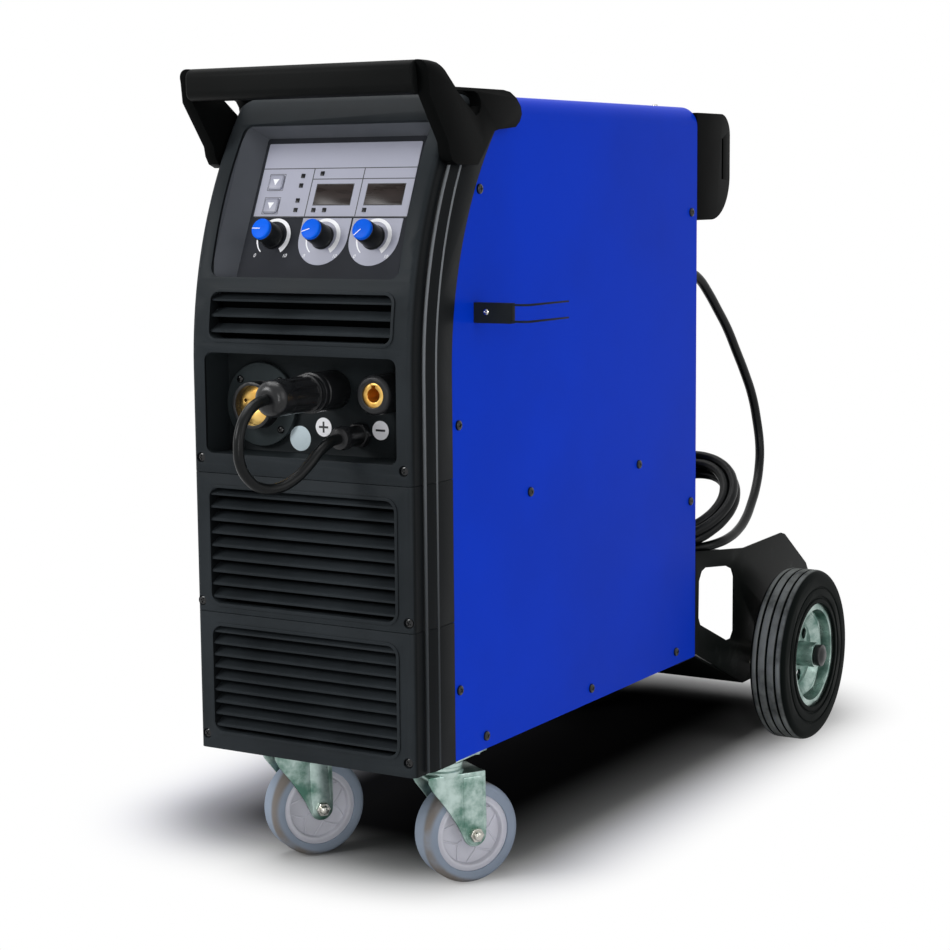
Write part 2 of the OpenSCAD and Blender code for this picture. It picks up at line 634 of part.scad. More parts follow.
module drive_roll() color(zinc) placed() {
    feed_roll(roll_z) rod_x(torch_pos[0] - 10, torch_pos[0] + 16, feed_y, roll_z, 4);
    rod_x(torch_pos[0] - 12, feed_plate_x + 9, feed_y, roll_z, 4);
    rod_x(torch_pos[0] - 12, torch_pos[0] - 6, feed_y, roll_z, 8);
}
module pressure_roll() color(zinc) placed() feed_roll(idler_z)
    rod_x(torch_pos[0] - 10, torch_pos[0] + 16, feed_y, idler_z, 3 + running);
module feed_base() color([0.75, 0.76, 0.78]) placed() {
    difference() {
        round_box_yz([feed_plate_x, feed_plate_x + 8], [122, 242], [406, 520], 8);
        rod_x(feed_plate_x - 1, feed_plate_x + 9, feed_y, roll_z, 4 + running);
    }
    for (d = [[122, 160], [210, 242]]) difference() {
        box([torch_pos[0] - 7, feed_plate_x], d, [torch_pos[1] - 10, torch_pos[1] + 5]);
        rod_y(d[0] - 1, d[1] + 1, torch_pos[0], torch_pos[1], d[0] < 200 ? 1.5 : 2.5);
    }
    rod_x(-94, feed_plate_x, arm_pivot[0], arm_pivot[1], 4);
    rod_x(-97, -94, arm_pivot[0], arm_pivot[1], 6);
    rod_x(lever_x - 8, feed_plate_x, lever_pivot[0], lever_pivot[1], 3);
    box([feed_plate_x + 8, divider_x - sheet_t], [130, 142], [410, 422]);
    box([feed_plate_x + 8, divider_x - sheet_t], [130, 142], [500, 512]);
    box([feed_plate_x + 8, divider_x - sheet_t], [226, 238], [410, 422]);
    box([feed_plate_x + 8, divider_x - sheet_t], [226, 238], [500, 512]);
}
module feed_motor() color([0.2, 0.2, 0.22]) placed() difference() {
    union() {
        rod_x(feed_plate_x + 8, 6, feed_y, roll_z, 27);
        rod_x(6, 62, feed_y, roll_z, 30);
        rod_x(62, 68, feed_y, roll_z, 12);
    }
    rod_x(feed_plate_x + 7, feed_plate_x + 12, feed_y, roll_z, 6);
}
module pressure_arm() color(plastic) placed() {
    difference() {
        union() {
            round_box_yz([-92, -79], [172, 240], [474, 498], 8);
            box([-92, feed_plate_x - 1], [150, 236], [499.5, 508]);
            box([-92, -79], [172, 236], [490, 508]);
            round_box_yz([feed_plate_x - 6, feed_plate_x - 1], [172, 240], [474, 508], 8);
            for (x = [[-92, lever_x - 6], [lever_x + 6, feed_plate_x - 1]])
                box(x, [134, 152], [499.5, 508]);
        }
        rod_x(-95, feed_plate_x, arm_pivot[0], arm_pivot[1], 4 + running);
    }
    rod_x(-80, feed_plate_x - 2, feed_y, idler_z, 3);
}
module tension_lever() color([0.7, 0.1, 0.1]) placed() {
    difference() {
        rod_x(lever_x - 6, lever_x + 4, lever_pivot[0], lever_pivot[1], 7);
        rod_x(lever_x - 9, lever_x + 6, lever_pivot[0], lever_pivot[1], 3 + running);
    }
    difference() {
        rod_z(lever_pivot[1], 520, lever_x, lever_pivot[0], 3);
        rod_x(lever_x - 9, lever_x + 6, lever_pivot[0], lever_pivot[1], 3 + running);
    }
    rod_z(518, 546, lever_x, lever_pivot[0], 9);
}

// --- handle, hook and cylinder rest ---
arm_outline = [[10, 782], [12.7, 770], [15, 751], [31, 730], [46, 710], [48, 701], [53, 693.5], [62, 690],
               [98, 690], [112, 704], [121, 714], [128, 721], [136, 722.7], [168, 725.5], [176, 731],
               [180, 738], [178, 745], [170, 752.6], [158, 758], [145, 759.5], [59, 759.5], [42, 773],
               [32, 780], [22, 782]];
arm_opening = [[61, 756.5], [95, 734.5], [101, 737.5], [104, 743.5], [103, 749], [98.5, 754.5], [92, 756.5]];
module handle_bar() color(plastic) placed() {
    round_box_yz([-126, 126], [4, 35], [handle_top - 30, handle_top], 9);
}
module handle_brackets() color(plastic) placed() both_sides() difference() {
    intersection() {
        union() {
            along_x(126, handle_w / 2) difference() {
                polygon(arm_outline);
                polygon(arm_opening);
            }
            along_x(100, handle_w / 2 - 5) intersection() {
                polygon(arm_outline);
                translate([118, 715]) square([74, 60]);
            }
        }
        along_y(0, 200) translate([0, handle_top - 100]) round_rect(handle_w, 200, 9);
    }
    case_envelope();
}
prong = [[163, 109.5], [178, 109.5], [183, 114], [182.5, 190], [181, 190], [177, 121], [163, 116.5]];
module cable_hook() color(plastic) placed() {
    box([half_w, half_w + 40], [109, 117], [544, 563]);
    for (z = [545, 560.5]) translate([0, 0, z]) linear_extrude(1.6) polygon(prong);
}
rest_y = [case_depth, 686.5];
rest_z = [630.5, 749.5];
rest_low_r = 50;
rest_top_r = 24;
module rest_outline(grow) difference() {
    translate([rest_y[0], rest_z[0] + grow]) square([rest_y[1] - rest_y[0] - grow, rest_z[1] - rest_z[0] - 2 * grow]);
    translate([rest_y[1] - rest_low_r, rest_z[0]]) difference() {
        translate([0, -1]) square(rest_low_r + 1);
        translate([0, rest_low_r]) circle(rest_low_r - grow);
    }
    translate([rest_y[1] - rest_top_r, rest_z[1] - rest_top_r]) difference() {
        square(rest_top_r + 1);
        circle(rest_top_r - grow);
    }
}
module cylinder_rest() color(plastic) placed() difference() {
    along_x(-half_w, half_w) rest_outline(0);
    difference() {
        along_x(-half_w + 3, half_w - 3) rest_outline(3);
        rod_z(600, 800, 0, 743, 108);
    }
    rod_z(600, 800, 0, 743, 105);
    box([-130, 130], [664, 668], [676, 722]);
}

// --- cylinder deck ---
deck_bolts = [[-90, 575], [90, 575]];
cheek_outline = [[602, 134], [734, deck_z - 3], [deck_back, deck_z - 3], [deck_back, 180], [931, 190],
                 [861, 237], [850, 240], [735, 238], [598, 254], [598, 134]];
cheek_window = [[609, 218], [616, 228], [626, 231], [685, 224], [701, 218], [707, 208], [707, 142],
                [700, 134], [687, 134], [613, 166], [608, 175]];
module cylinder_deck() color(plastic) placed() {
    both_sides() difference() {
        along_x(half_w - 2, half_w) difference() {
            polygon(cheek_outline);
            polygon(cheek_window);
        }
        rod_x(half_w - 3, half_w + 1, axle_y, axle_z, 8);
    }
    both_sides() difference() {
        box([half_w - 7, half_w - 2], [axle_y - 28, axle_y + 28], [deck_z, axle_z + 26]);
        rod_x(half_w - 8, half_w, axle_y, axle_z, 8);
    }
    both_sides() box([half_w - 22, half_w - 2], [case_depth, case_depth + 2], [134, 252]);
    difference() {
        along_x(-half_w + 2, half_w - 2) polygon([[550, 130], [602, 130], [734, deck_z - 3],
            [deck_back - 2.5, deck_z - 3], [deck_back - 2.5, deck_z - 15], [deck_back, deck_z - 15], [deck_back, deck_z],
            [734.5, deck_z], [602.5, 132], [550, 132]]);
        for (p = deck_bolts) rod_z(129, 133, p[0], p[1], 3);
    }
    along_x(-half_w + 2, half_w - 2) polygon([[598, shelf_z], [722, shelf_z], [722, shelf_z - 14],
        [720, shelf_z - 14], [720, shelf_z - 2], [600, shelf_z - 2], [600, shelf_z - 14], [598, shelf_z - 14]]);
}

// --- wheels ---
module rear_axle() color(zinc) placed() both_sides() {
    rod_x(110, 198, axle_y, axle_z, 8);
    rod_x(half_w, 148.2, axle_y, axle_z, 13);
    rod_x(110, half_w - 7, axle_y, axle_z, 14, $fn = 6);
}
module axle_caps() color(plastic) placed() both_sides() difference() {
    union() {
        rod_x(196.3, 203, axle_y, axle_z, 13);
        translate([203, axle_y, axle_z]) rotate([0, 90, 0]) cylinder(h = 3, r1 = 12, r2 = 6);
    }
    rod_x(196, 198, axle_y, axle_z, 8);
}
module rear_wheel_at() placed() translate([wheel_x, axle_y, axle_z]) rotate([0, 90, 0]) children();
module tyre_profile(r, inner, w, shoulder) {
    translate([inner, -w / 2]) square([r - shoulder - inner, w]);
    translate([inner, -w / 2 + shoulder]) square([r - inner, w - 2 * shoulder]);
    for (s = [-1, 1]) translate([r - shoulder, s * (w / 2 - shoulder)]) circle(shoulder);
}
module rear_tyre() color([0.05, 0.05, 0.05]) rear_wheel_at() rotate_extrude($fn = 96) difference() {
    tyre_profile(wheel_d / 2, 59, tyre_w, 9);
    for (a = [-11, 0, 11]) translate([wheel_d / 2 - 3, a - 1.6]) square([5, 3.2]);
    for (a = [-30, 16.4]) translate([58, a]) square([5.2, 13.6]);
    for (s = [-1, 1]) translate([70, s * tyre_w / 2]) circle(2);
    for (s = [-1, 1]) translate([82, s * tyre_w / 2]) circle(1.5);
}
module rear_rim() color(zinc) rear_wheel_at() difference() {
    rotate_extrude($fn = 96) {
        translate([8 + running, -24]) square([7, 47]);
        translate([14, -4]) square([24, 4]);
        polygon([[37, -4], [48, 8], [56, 8], [56, 4], [50, 4], [41, -4]]);
        translate([55, -18]) square([4, 36]);
        for (a = [-19.5, 16.5]) translate([55, a]) square([8, 3]);
    }
    for (i = [0:4]) rotate(72 * i) translate([27, 0, -6]) cylinder(h = 8, r = 7);
}
module tyre_right() rear_tyre();
module tyre_left() mirror([1, 0, 0]) rear_tyre();
module rim_right() rear_rim();
module rim_left() mirror([1, 0, 0]) rear_rim();

// Casters: t runs along the trailing arm, turned to the rest heading
module caster_at(side) placed() translate([side * caster_x, caster_y, 0]) rotate(90 - caster_heading) children();
module caster_axis(h) translate([caster_trail, h / 2, caster_r]) rotate([90, 0, 0]) children();
module caster_plates() color(zinc) placed() for (s = [-1, 1]) translate([s * caster_x, caster_y, 0]) {
    translate([-30, -36, case_floor - 4]) cube([60, 72, 4]);
    rod_z(case_floor - 8, case_floor - 4, 0, 0, 21);
    rod_z(104, case_floor - 4, 0, 0, 6);
    rod_z(101.5, 106.7, 0, 0, 9, $fn = 6);
    for (x = [-22, 22], y = [-28, 28]) rod_z(case_floor - 7, case_floor - 4, x, y, 5, $fn = 6);
}
module fork_cheek() along_y(-1.5, 1.5) {
    polygon([[-22, 107], [-22, 112], [36, 112], [38, caster_r], [14, caster_r], [2, 84], [-16, 100]]);
    translate([caster_trail, caster_r]) circle(12);
}
module caster_fork(side) color(zinc) caster_at(side) {
    difference() {
        union() {
            for (s = [-1, 1]) translate([0, s * (fork_gap + 1.5), 0]) difference() {
                fork_cheek();
                rod_y(-3, 3, caster_trail, caster_r, 5);
            }
            box([-22, 36], [-fork_gap - 1, fork_gap + 1], [108, 112]);
            rod_z(108, case_floor - 8.4, 0, 0, 21);
        }
        rod_z(106, case_floor, 0, 0, 6 + running);
    }
    caster_axis(2 * fork_gap + 14) cylinder(h = 2 * fork_gap + 14, r = 5);
    for (s = [-1, 1]) translate([caster_trail, s * (fork_gap + 5.25), caster_r]) rotate([90, 0, 0])
        cylinder(h = 4.5, r = 8, center = true, $fn = 6);
}
module caster_tyre(side) color([0.42, 0.46, 0.55]) caster_at(side) caster_axis(0)
    rotate_extrude($fn = 72) tyre_profile(caster_r, 38, 32, 7);
module caster_hub(side) color([0.75, 0.77, 0.8]) caster_at(side) caster_axis(0) {
    rotate_extrude($fn = 72) {
        translate([5 + running, -17]) square([6, 34]);
        translate([10, -3]) square([21, 6]);
        translate([30, -15]) square([8, 30]);
    }
    for (i = [0:5]) rotate(60 * i) translate([10.5, -1.5, -12]) cube([20, 3, 24]);
}
module caster_fork_left() caster_fork(-1);
module caster_fork_right() caster_fork(1);
module caster_hub_left() caster_hub(-1);
module caster_hub_right() caster_hub(1);
module caster_tyre_left() caster_tyre(-1);
module caster_tyre_right() caster_tyre(1);

// --- fan and power module ---
module at_fan() placed() translate([fan_pos[0], case_depth - sheet_t, fan_pos[1]]) rotate([90, 0, 0]) children();
module fan_frame() color(plastic) at_fan() {
    difference() {
        linear_extrude(38) round_rect(120, 120, 6);
        translate([0, 0, -1]) cylinder(h = 40, r = 57);
    }
    for (a = [45:90:315]) rotate(a) translate([15, -2, 33.5]) cube([48, 4, 3.5]);
    translate([0, 0, 33.2]) cylinder(h = 4, r = 22);
    translate([0, 0, 8]) cylinder(h = 27, r = 3);
    translate([0, 0, -1.5]) cylinder(h = 3, r = 12);
    for (r = [26, 36, 46]) rotate_extrude() translate([r - 1.2, -1.5]) square([2.4, 3]);
    for (a = [0:45:315]) rotate(a) translate([10, -1.2, 0.4]) cube([48.5, 2.4, 2]);
}
module fan_rotor() color(plastic) at_fan() difference() {
    union() {
        translate([0, 0, 6]) cylinder(h = 26.5, r = 20);
        for (i = [0:6]) rotate(i * 360 / 7) translate([18, 0, 19.5]) rotate([40, 0, 0])
            translate([0, -14, -1]) cube([36, 28, 2]);
    }
    translate([0, 0, 7.4]) cylinder(h = 40, r = 3 + running);
}
module inverter_module() color([0.6, 0.62, 0.65]) placed() {
    box([4, 112], [200, 530], [case_floor + 2, case_floor + 16]);
    for (i = [0:8]) box([8 + 12 * i, 11 + 12 * i], [200, 530], [case_floor + 15, 240]);
    box([4, 112], [200, 530], [240, 248]);
    box([20, 100], [330, 500], [248, 400]);
    for (i = [0:2]) rod_z(248, 330, 30 + 34 * i, 270, 15);
}

// --- mains cord ---
module mains_cable() color(plastic) placed() swept_tube(cable_route, cable_d / 2, 12, 3);
module on_coil() translate(coil_pos) rotate([coil_lean, 0, 0]) children();
module cable_coil() color(plastic) placed() on_coil() rotate_extrude($fn = 72)
    translate([coil_mid_r - coil_sec[0] / 2, -coil_sec[1] / 2]) square(coil_sec);
module mains_plug() color(plastic) placed() translate([-50, 640, shelf_z + 20]) rotate([0, 90, 0]) {
    translate([0, 0, -32]) cylinder(h = 32, r = 19.4);
    translate([0, 0, -38]) cylinder(h = 6, r = 17.5);
    cylinder(h = 7, r1 = 19.4, r2 = 11);
    translate([0, 0, 7]) cylinder(h = 22, r1 = 9, r2 = 7);
    for (i = [0:3]) translate([0, 0, 9 + 5 * i]) cylinder(h = 2.5, r = 9.5 - 0.5 * i);
    translate([0, 0, 29]) cylinder(h = 36, d = cable_d);
    for (s = [-1, 1]) translate([0, s * 9.5, -57]) {
        cylinder(h = 20, r = 2.4);
        sphere(2.4);
    }
}

// --- screws ---
side_screws = [[120.8, 668.1], [79.1, 450.6], [77.2, 199.5], [582.8, 639.5], [583.6, 314], [547.1, 146.8],
               [342.6, 146.7], [125.6, 144.6], [214.5, 371.3], [453.1, 371.2]];
module case_screws() color([0.3, 0.31, 0.33]) placed() {
    for (p = screw_front, s = [-1, 1]) {
        rod_y(1, 3, s * p[0], p[1], 4.4);
        rod_y(3, band_d + 6, s * p[0], p[1], 2);
    }
    for (p = side_screws) {
        rod_x(half_w, half_w + 1.2, p[0], p[1], 4.8);
        translate([half_w + 1.2, p[0], p[1]]) rotate([0, 90, 0]) cylinder(h = 1.6, r1 = 4.6, r2 = 2.6);
    }
    for (p = deck_bolts) rod_z(125, 130, p[0], p[1], 6, $fn = 6);
    for (a = [45:90:315]) rod_y(recess_d - 7.5, recess_d - 5,
        torch_pos[0] + 33 * cos(a), torch_pos[1] + 33 * sin(a), 3.6);
}

front_panel_upper();
front_panel_middle();
front_panel_lower();
socket_recess();
control_panel();
panel_overlay();
display_lenses();
knob_left();
knob_middle();
knob_right();
knob_cap_left();
knob_cap_middle();
knob_cap_right();
button_upper();
button_lower();
socket_bodies();
socket_contacts();
polarity_plug();
polarity_lead();
cable_glands();
chassis();
cover_panel();
left_panel();
rear_panel();
access_door();
door_latch();
spool_hub();
feed_base();
feed_motor();
drive_roll();
pressure_arm();
pressure_roll();
tension_lever();
handle_bar();
handle_brackets();
cable_hook();
cylinder_rest();
cylinder_deck();
rear_axle();
axle_caps();
tyre_left();
tyre_right();
rim_left();
rim_right();
caster_plates();
caster_fork_left();
caster_fork_right();
caster_hub_left();
caster_hub_right();
caster_tyre_left();
caster_tyre_right();
fan_frame();
fan_rotor();
switch_knob();
gas_inlet();
mains_cable();
cable_coil();
mains_plug();
case_screws();
inverter_module();
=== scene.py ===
"""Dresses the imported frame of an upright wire-feed welding machine on its cart."""
import json
import math

import bpy
from bpy.props import FloatProperty, FloatVectorProperty
from mathutils import Matrix, Vector


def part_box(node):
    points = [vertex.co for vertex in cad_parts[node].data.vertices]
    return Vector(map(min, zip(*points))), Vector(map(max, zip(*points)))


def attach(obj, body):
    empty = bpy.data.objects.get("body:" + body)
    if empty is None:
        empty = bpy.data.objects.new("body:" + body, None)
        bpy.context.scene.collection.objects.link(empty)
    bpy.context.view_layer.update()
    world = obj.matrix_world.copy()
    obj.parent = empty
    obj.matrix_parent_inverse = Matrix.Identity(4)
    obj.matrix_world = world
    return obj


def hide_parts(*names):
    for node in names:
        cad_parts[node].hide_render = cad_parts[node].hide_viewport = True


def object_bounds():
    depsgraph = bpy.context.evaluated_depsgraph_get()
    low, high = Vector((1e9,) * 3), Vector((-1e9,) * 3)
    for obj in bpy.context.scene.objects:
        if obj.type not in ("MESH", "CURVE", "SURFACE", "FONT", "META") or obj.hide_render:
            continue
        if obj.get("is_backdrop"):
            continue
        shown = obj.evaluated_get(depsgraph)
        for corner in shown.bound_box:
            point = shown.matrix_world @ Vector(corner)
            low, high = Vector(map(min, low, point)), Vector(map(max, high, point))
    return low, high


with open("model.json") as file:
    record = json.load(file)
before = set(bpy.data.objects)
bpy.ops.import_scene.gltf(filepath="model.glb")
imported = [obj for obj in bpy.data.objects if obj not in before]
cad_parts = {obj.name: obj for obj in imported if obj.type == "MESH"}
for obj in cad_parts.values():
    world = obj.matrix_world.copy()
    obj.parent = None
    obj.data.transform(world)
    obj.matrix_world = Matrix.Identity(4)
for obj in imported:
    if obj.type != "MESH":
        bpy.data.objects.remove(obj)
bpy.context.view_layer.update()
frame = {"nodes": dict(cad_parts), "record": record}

bl_info = {
    "name": "Welding machine on cart",
    "version": (1, 0, 0),
    "blender": (4, 5, 0),
    "location": "3D View > Sidebar > Welder",
    "description": "Builds the visible pieces and finishes of a welding machine on its cart",
    "category": "Object",
}

MM = 0.001
# How far the grille rims stand in front of the front face
RIM_PROUD = 1.2


def corners(node):
    """Lowest and highest corner of a CAD node, in metres."""
    low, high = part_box(node)
    return Vector(low), Vector(high)


FRONT_Y = corners("front_panel_lower")[0].y + RIM_PROUD * MM


def place(x, depth, z):
    """A point from its distance right of centre, behind the front face and above the floor, in mm."""
    return Vector((x * MM, FRONT_Y + depth * MM, z * MM))


# The control panel's plane, as the construction has it
NOSE_R, NOSE_Z = 408.0, 500.0
PANEL_TILT = math.radians(23.5)
PANEL_SPAN = (588.0, 731.0)
PANEL_SINK = 20.0


def nose_depth(z):
    """How far the swept-back front lies behind the front face at a height."""
    return NOSE_R - math.sqrt(NOSE_R ** 2 - max(0.0, z - NOSE_Z) ** 2)


PANEL_NORMAL = Vector((0, -math.cos(PANEL_TILT), math.sin(PANEL_TILT)))
PANEL_UP = Vector((0, math.sin(PANEL_TILT), math.cos(PANEL_TILT)))
PANEL_CENTRE = place(
    0,
    (nose_depth(PANEL_SPAN[0]) + nose_depth(PANEL_SPAN[1])) / 2 + PANEL_SINK * math.cos(PANEL_TILT),
    sum(PANEL_SPAN) / 2 - PANEL_SINK * math.sin(PANEL_TILT),
)
PANEL_FRAME = Matrix.Translation(PANEL_CENTRE) @ Matrix(
    ((1, 0, 0), (0, PANEL_UP.y, PANEL_NORMAL.y), (0, PANEL_UP.z, PANEL_NORMAL.z))
).to_4x4()


# --- shader maths -----------------------------------------------------------


class Value:
    """A socket in a material, so that shader maths reads as plain arithmetic."""

    def __init__(self, graph, socket):
        self.graph = graph
        self.socket = socket

    def maths(self, operation, *others):
        return self.graph.node("ShaderNodeMath", {"operation": operation}, (self, *others))

    def __add__(self, other):
        return self.maths("ADD", other)

    def __radd__(self, other):
        return self.maths("ADD", other)

    def __sub__(self, other):
        return self.maths("SUBTRACT", other)

    def __rsub__(self, other):
        return self.graph.node("ShaderNodeMath", {"operation": "SUBTRACT"}, (other, self))

    def __mul__(self, other):
        return self.maths("MULTIPLY", other)

    def __rmul__(self, other):
        return self.maths("MULTIPLY", other)

    def smooth(self, low, high):
        """0 below low, 1 above high and a soft step between."""
        return self.graph.node(
            "ShaderNodeMapRange", {"interpolation_type": "SMOOTHSTEP"}, (self, low, high, 0.0, 1.0)
        )


class Graph:
    """A material's node tree with one method for every kind of node."""

    def __init__(self, name):
        self.material = bpy.data.materials.new(name)
        self.material.use_nodes = True
        self.tree = self.material.node_tree
        self.tree.nodes.clear()
        self.output = self.tree.nodes.new("ShaderNodeOutputMaterial")

    def node(self, kind, settings=None, sockets=(), output=0):
        """Adds a node: settings first, then the values or links of its sockets, by order or by name."""
        made = self.tree.nodes.new(kind)
        for key, value in (settings or {}).items():
            setattr(made, key, value)
        pairs = sockets.items() if isinstance(sockets, dict) else enumerate(sockets)
        for key, value in pairs:
            if isinstance(value, Value):
                self.tree.links.new(value.socket, made.inputs[key])
            else:
                made.inputs[key].default_value = value
        return Value(self, made.outputs[output])

    def position(self):
        """Where on the machine a point of the surface is, in metres."""
        return self.node("ShaderNodeTexCoord", output="Object")

    def vector_maths(self, operation, *others, output=0):
        return self.node("ShaderNodeVectorMath", {"operation": operation}, others, output)

    def axis(self, vector, name):
        """One coordinate of a vector."""
        return self.node("ShaderNodeSeparateXYZ", None, (vector,), output=name)

    def noise(self, vector, scale, detail=3.0, roughness=0.5):
        sockets = {"Vector": vector, "Scale": scale, "Detail": detail, "Roughness": roughness}
        return self.node("ShaderNodeTexNoise", None, sockets, output="Fac")

    def mix(self, factor, first, second):
        """Blends two colours."""
        return self.node("ShaderNodeMix", {"data_type": "RGBA"}, {0: factor, 6: first, 7: second}, output=2)

    def bump(self, height, distance):
        """Turns a height of 0 to 1 into relief of a depth in metres."""
        return self.node("ShaderNodeBump", None, {"Strength": 1.0, "Distance": distance, "Height": height})

    def surface(self, **sockets):
        """Finishes the material with a Principled shader."""
        named = {key.replace("_", " "): value for key, value in sockets.items()}
        shader = self.node("ShaderNodeBsdfPrincipled", None, named)
        self.tree.links.new(shader.socket, self.output.inputs["Surface"])
        return self.material


def rgb(hex_code):
    """A display colour as linear red, green, blue and full alpha."""
    parts = [int(hex_code[i:i + 2], 16) / 255 for i in (0, 2, 4)]
    linear = [p / 12.92 if p <= 0.04045 else ((p + 0.055) / 1.055) ** 2.4 for p in parts]
    return (*linear, 1.0)


def shade(colour, factor):
    """A colour made lighter or darker."""
    return (*[min(1.0, c * factor) for c in colour[:3]], 1.0)


# --- finishes ---------------------------------------------------------------

# Depth and size of a moulding's grain, in metres
SPARKED, COARSE, FINE, TEXTURED = (6e-5, 7e-4), (9e-5, 9e-4), (5e-5, 5e-4), (5e-5, 6e-4)
SATIN, POLISHED, GLOSSY = (3e-5, 6e-4), (2e-5, 6e-4), (2e-5, 9e-4)


def moulded(name, colour, roughness, grain=SPARKED, dust=0.25, shine=0.045, sides=1.0):
    """Moulded plastic: a grain, dust that settles on upward faces, and painted shade that darkens the faces
    turned sideways.
    """
    g = Graph(name)
    where = g.position()
    depth, size = grain
    grains = g.noise(where, 1 / size, 2.0, 0.6)
    patches = g.noise(where, 11.0, 4.0, 0.55)
    facing_way = g.node("ShaderNodeNewGeometry", output="Normal")
    up = g.axis(facing_way, "Z")
    across = g.axis(facing_way, "X")
    settled = up.smooth(0.3, 1.0) * patches.smooth(0.35, 0.75) * dust
    tone = g.mix(patches.smooth(0.3, 0.7), shade(colour, 0.86), shade(colour, 1.14))
    # Painted shade: faces that look along X take the colour darkened by the side factor.
    tone = g.mix((across * across).smooth(0.4, 0.9), tone, shade(colour, sides))
    return g.surface(
        Base_Color=g.mix(settled, tone, shade(colour, 2.4)),
        Roughness=patches.smooth(0.2, 0.8) * 0.12 + (roughness - 0.06) + settled * 0.4,
        Specular_IOR_Level=shine,
        Normal=g.bump(grains, depth),
    )


def enamel(name, colour):
    """Sprayed enamel on sheet steel: a faint orange peel and slow changes of gloss."""
    g = Graph(name)
    where = g.position()
    peel = g.noise(where, 420.0, 2.0, 0.5)
    cloud = g.noise(where, 5.0, 3.0, 0.5)
    return g.surface(
        Base_Color=g.mix(cloud.smooth(0.35, 0.65), shade(colour, 0.95), shade(colour, 1.05)),
        Roughness=cloud * 0.08 + 0.32,
        Specular_IOR_Level=0.025,
        Normal=g.bump(peel, 0.00004),
    )


def powder(name, colour, roughness):
    """Powder coat on folded steel, with rubbed patches."""
    g = Graph(name)
    where = g.position()
    peel = g.noise(where, 900.0, 2.0, 0.6)
    rubbed = g.noise(where, 26.0, 5.0, 0.6).smooth(0.56, 0.74)
    return g.surface(
        Base_Color=g.mix(rubbed, colour, shade(colour, 1.7)),
        Roughness=rubbed * -0.12 + roughness,
        Specular_IOR_Level=0.05,
        Normal=g.bump(peel, 0.00005),
    )


def metal(name, colour, tint, roughness, streak=(1.0, 1.0, 12.0)):
    """Plated or machined metal with fine marks along one direction and patches of a tint."""
    g = Graph(name)
    where = g.position()
    lines = g.noise(g.vector_maths("MULTIPLY", where, streak), 260.0, 2.0, 0.5)
    patch = g.noise(where, 38.0, 4.0, 0.6)
    return g.surface(
        Base_Color=g.mix(patch.smooth(0.35, 0.7), colour, tint),
        Metallic=1.0,
        Roughness=lines * 0.16 + patch * 0.08 + (roughness - 0.08),
        Normal=g.bump(lines, 0.00002),
    )


def rubber(name, colour, roughness, scuff):
    """Moulded rubber, greyed where it has rolled or rubbed."""
    g = Graph(name)
    where = g.position()
    fine = g.noise(where, 700.0, 3.0, 0.6)
    worn = g.noise(where, 30.0, 5.0, 0.65).smooth(0.42, 0.72) * scuff
    return g.surface(
        Base_Color=g.mix(worn, colour, shade(colour, 1.9)),
        Roughness=worn * 0.2 + roughness,
        Specular_IOR_Level=0.14,
        Normal=g.bump(fine, 0.00006),
    )


def tread_rubber(name, wheel, colour, tread, crown):
    """Solid tyre: the ribs that touch the floor are scuffed to a dusty grey, down to a depth."""
    low, high = corners(wheel)
    axle, radius = (low + high) / 2, (high.z - low.z) / 2
    g = Graph(name)
    where = g.position()
    from_axle = g.vector_maths("SUBTRACT", where, axle)
    flat = g.vector_maths("MULTIPLY", from_axle, (0.0, 1.0, 1.0))
    reach = g.vector_maths("LENGTH", flat, output="Value")
    fine = g.noise(where, 520.0, 4.0, 0.6)
    patch = g.noise(where, 22.0, 4.0, 0.6)
    rolled = reach.smooth(radius - crown, radius - crown / 4) * patch.smooth(0.2, 0.6)
    return g.surface(
        Base_Color=g.mix(rolled, g.mix(patch, colour, shade(colour, 1.5)), tread),
        Roughness=rolled * 0.15 + 0.55,
        Specular_IOR_Level=0.03,
        Normal=g.bump(fine, 0.00008),
    )


def highlight_bead_line(name, low, high):
    """Raised line on the mouldings with a painted highlight, light higher up and darker towards the bottom.
    """
    g = Graph(name)
    height = g.axis(g.position(), "Z")
    # Painted highlight: the colour runs from the dark low one near the bottom to the light high one higher
    # up.
    return g.surface(
        Base_Color=g.mix(height.smooth(0.2, 0.62), low, high),
        Roughness=0.4,
        Specular_IOR_Level=0.1,
    )


def film(name, colour):
    """Printed polyester film with a very fine tooth."""
    g = Graph(name)
    where = g.position()
    tooth = g.noise(where, 1600.0, 1.0)
    tone = g.noise(where, 14.0, 2.0)
    return g.surface(
        Base_Color=g.mix(tone, shade(colour, 0.96), shade(colour, 1.04)),
        Roughness=tooth * 0.08 + 0.38,
        Normal=g.bump(tooth, 0.00001),
    )


def window(name, colour):
    """Tinted display window: smooth, deep and slightly streaked."""
    g = Graph(name)
    where = g.position()
    wipe = g.noise(g.vector_maths("MULTIPLY", where, (1.0, 6.0, 6.0)), 40.0, 3.0)
    return g.surface(
        Base_Color=g.mix(wipe.smooth(0.3, 0.7), shade(colour, 0.8), shade(colour, 1.25)),
        Roughness=wipe * 0.12 + 0.22,
        Specular_IOR_Level=0.2,
    )


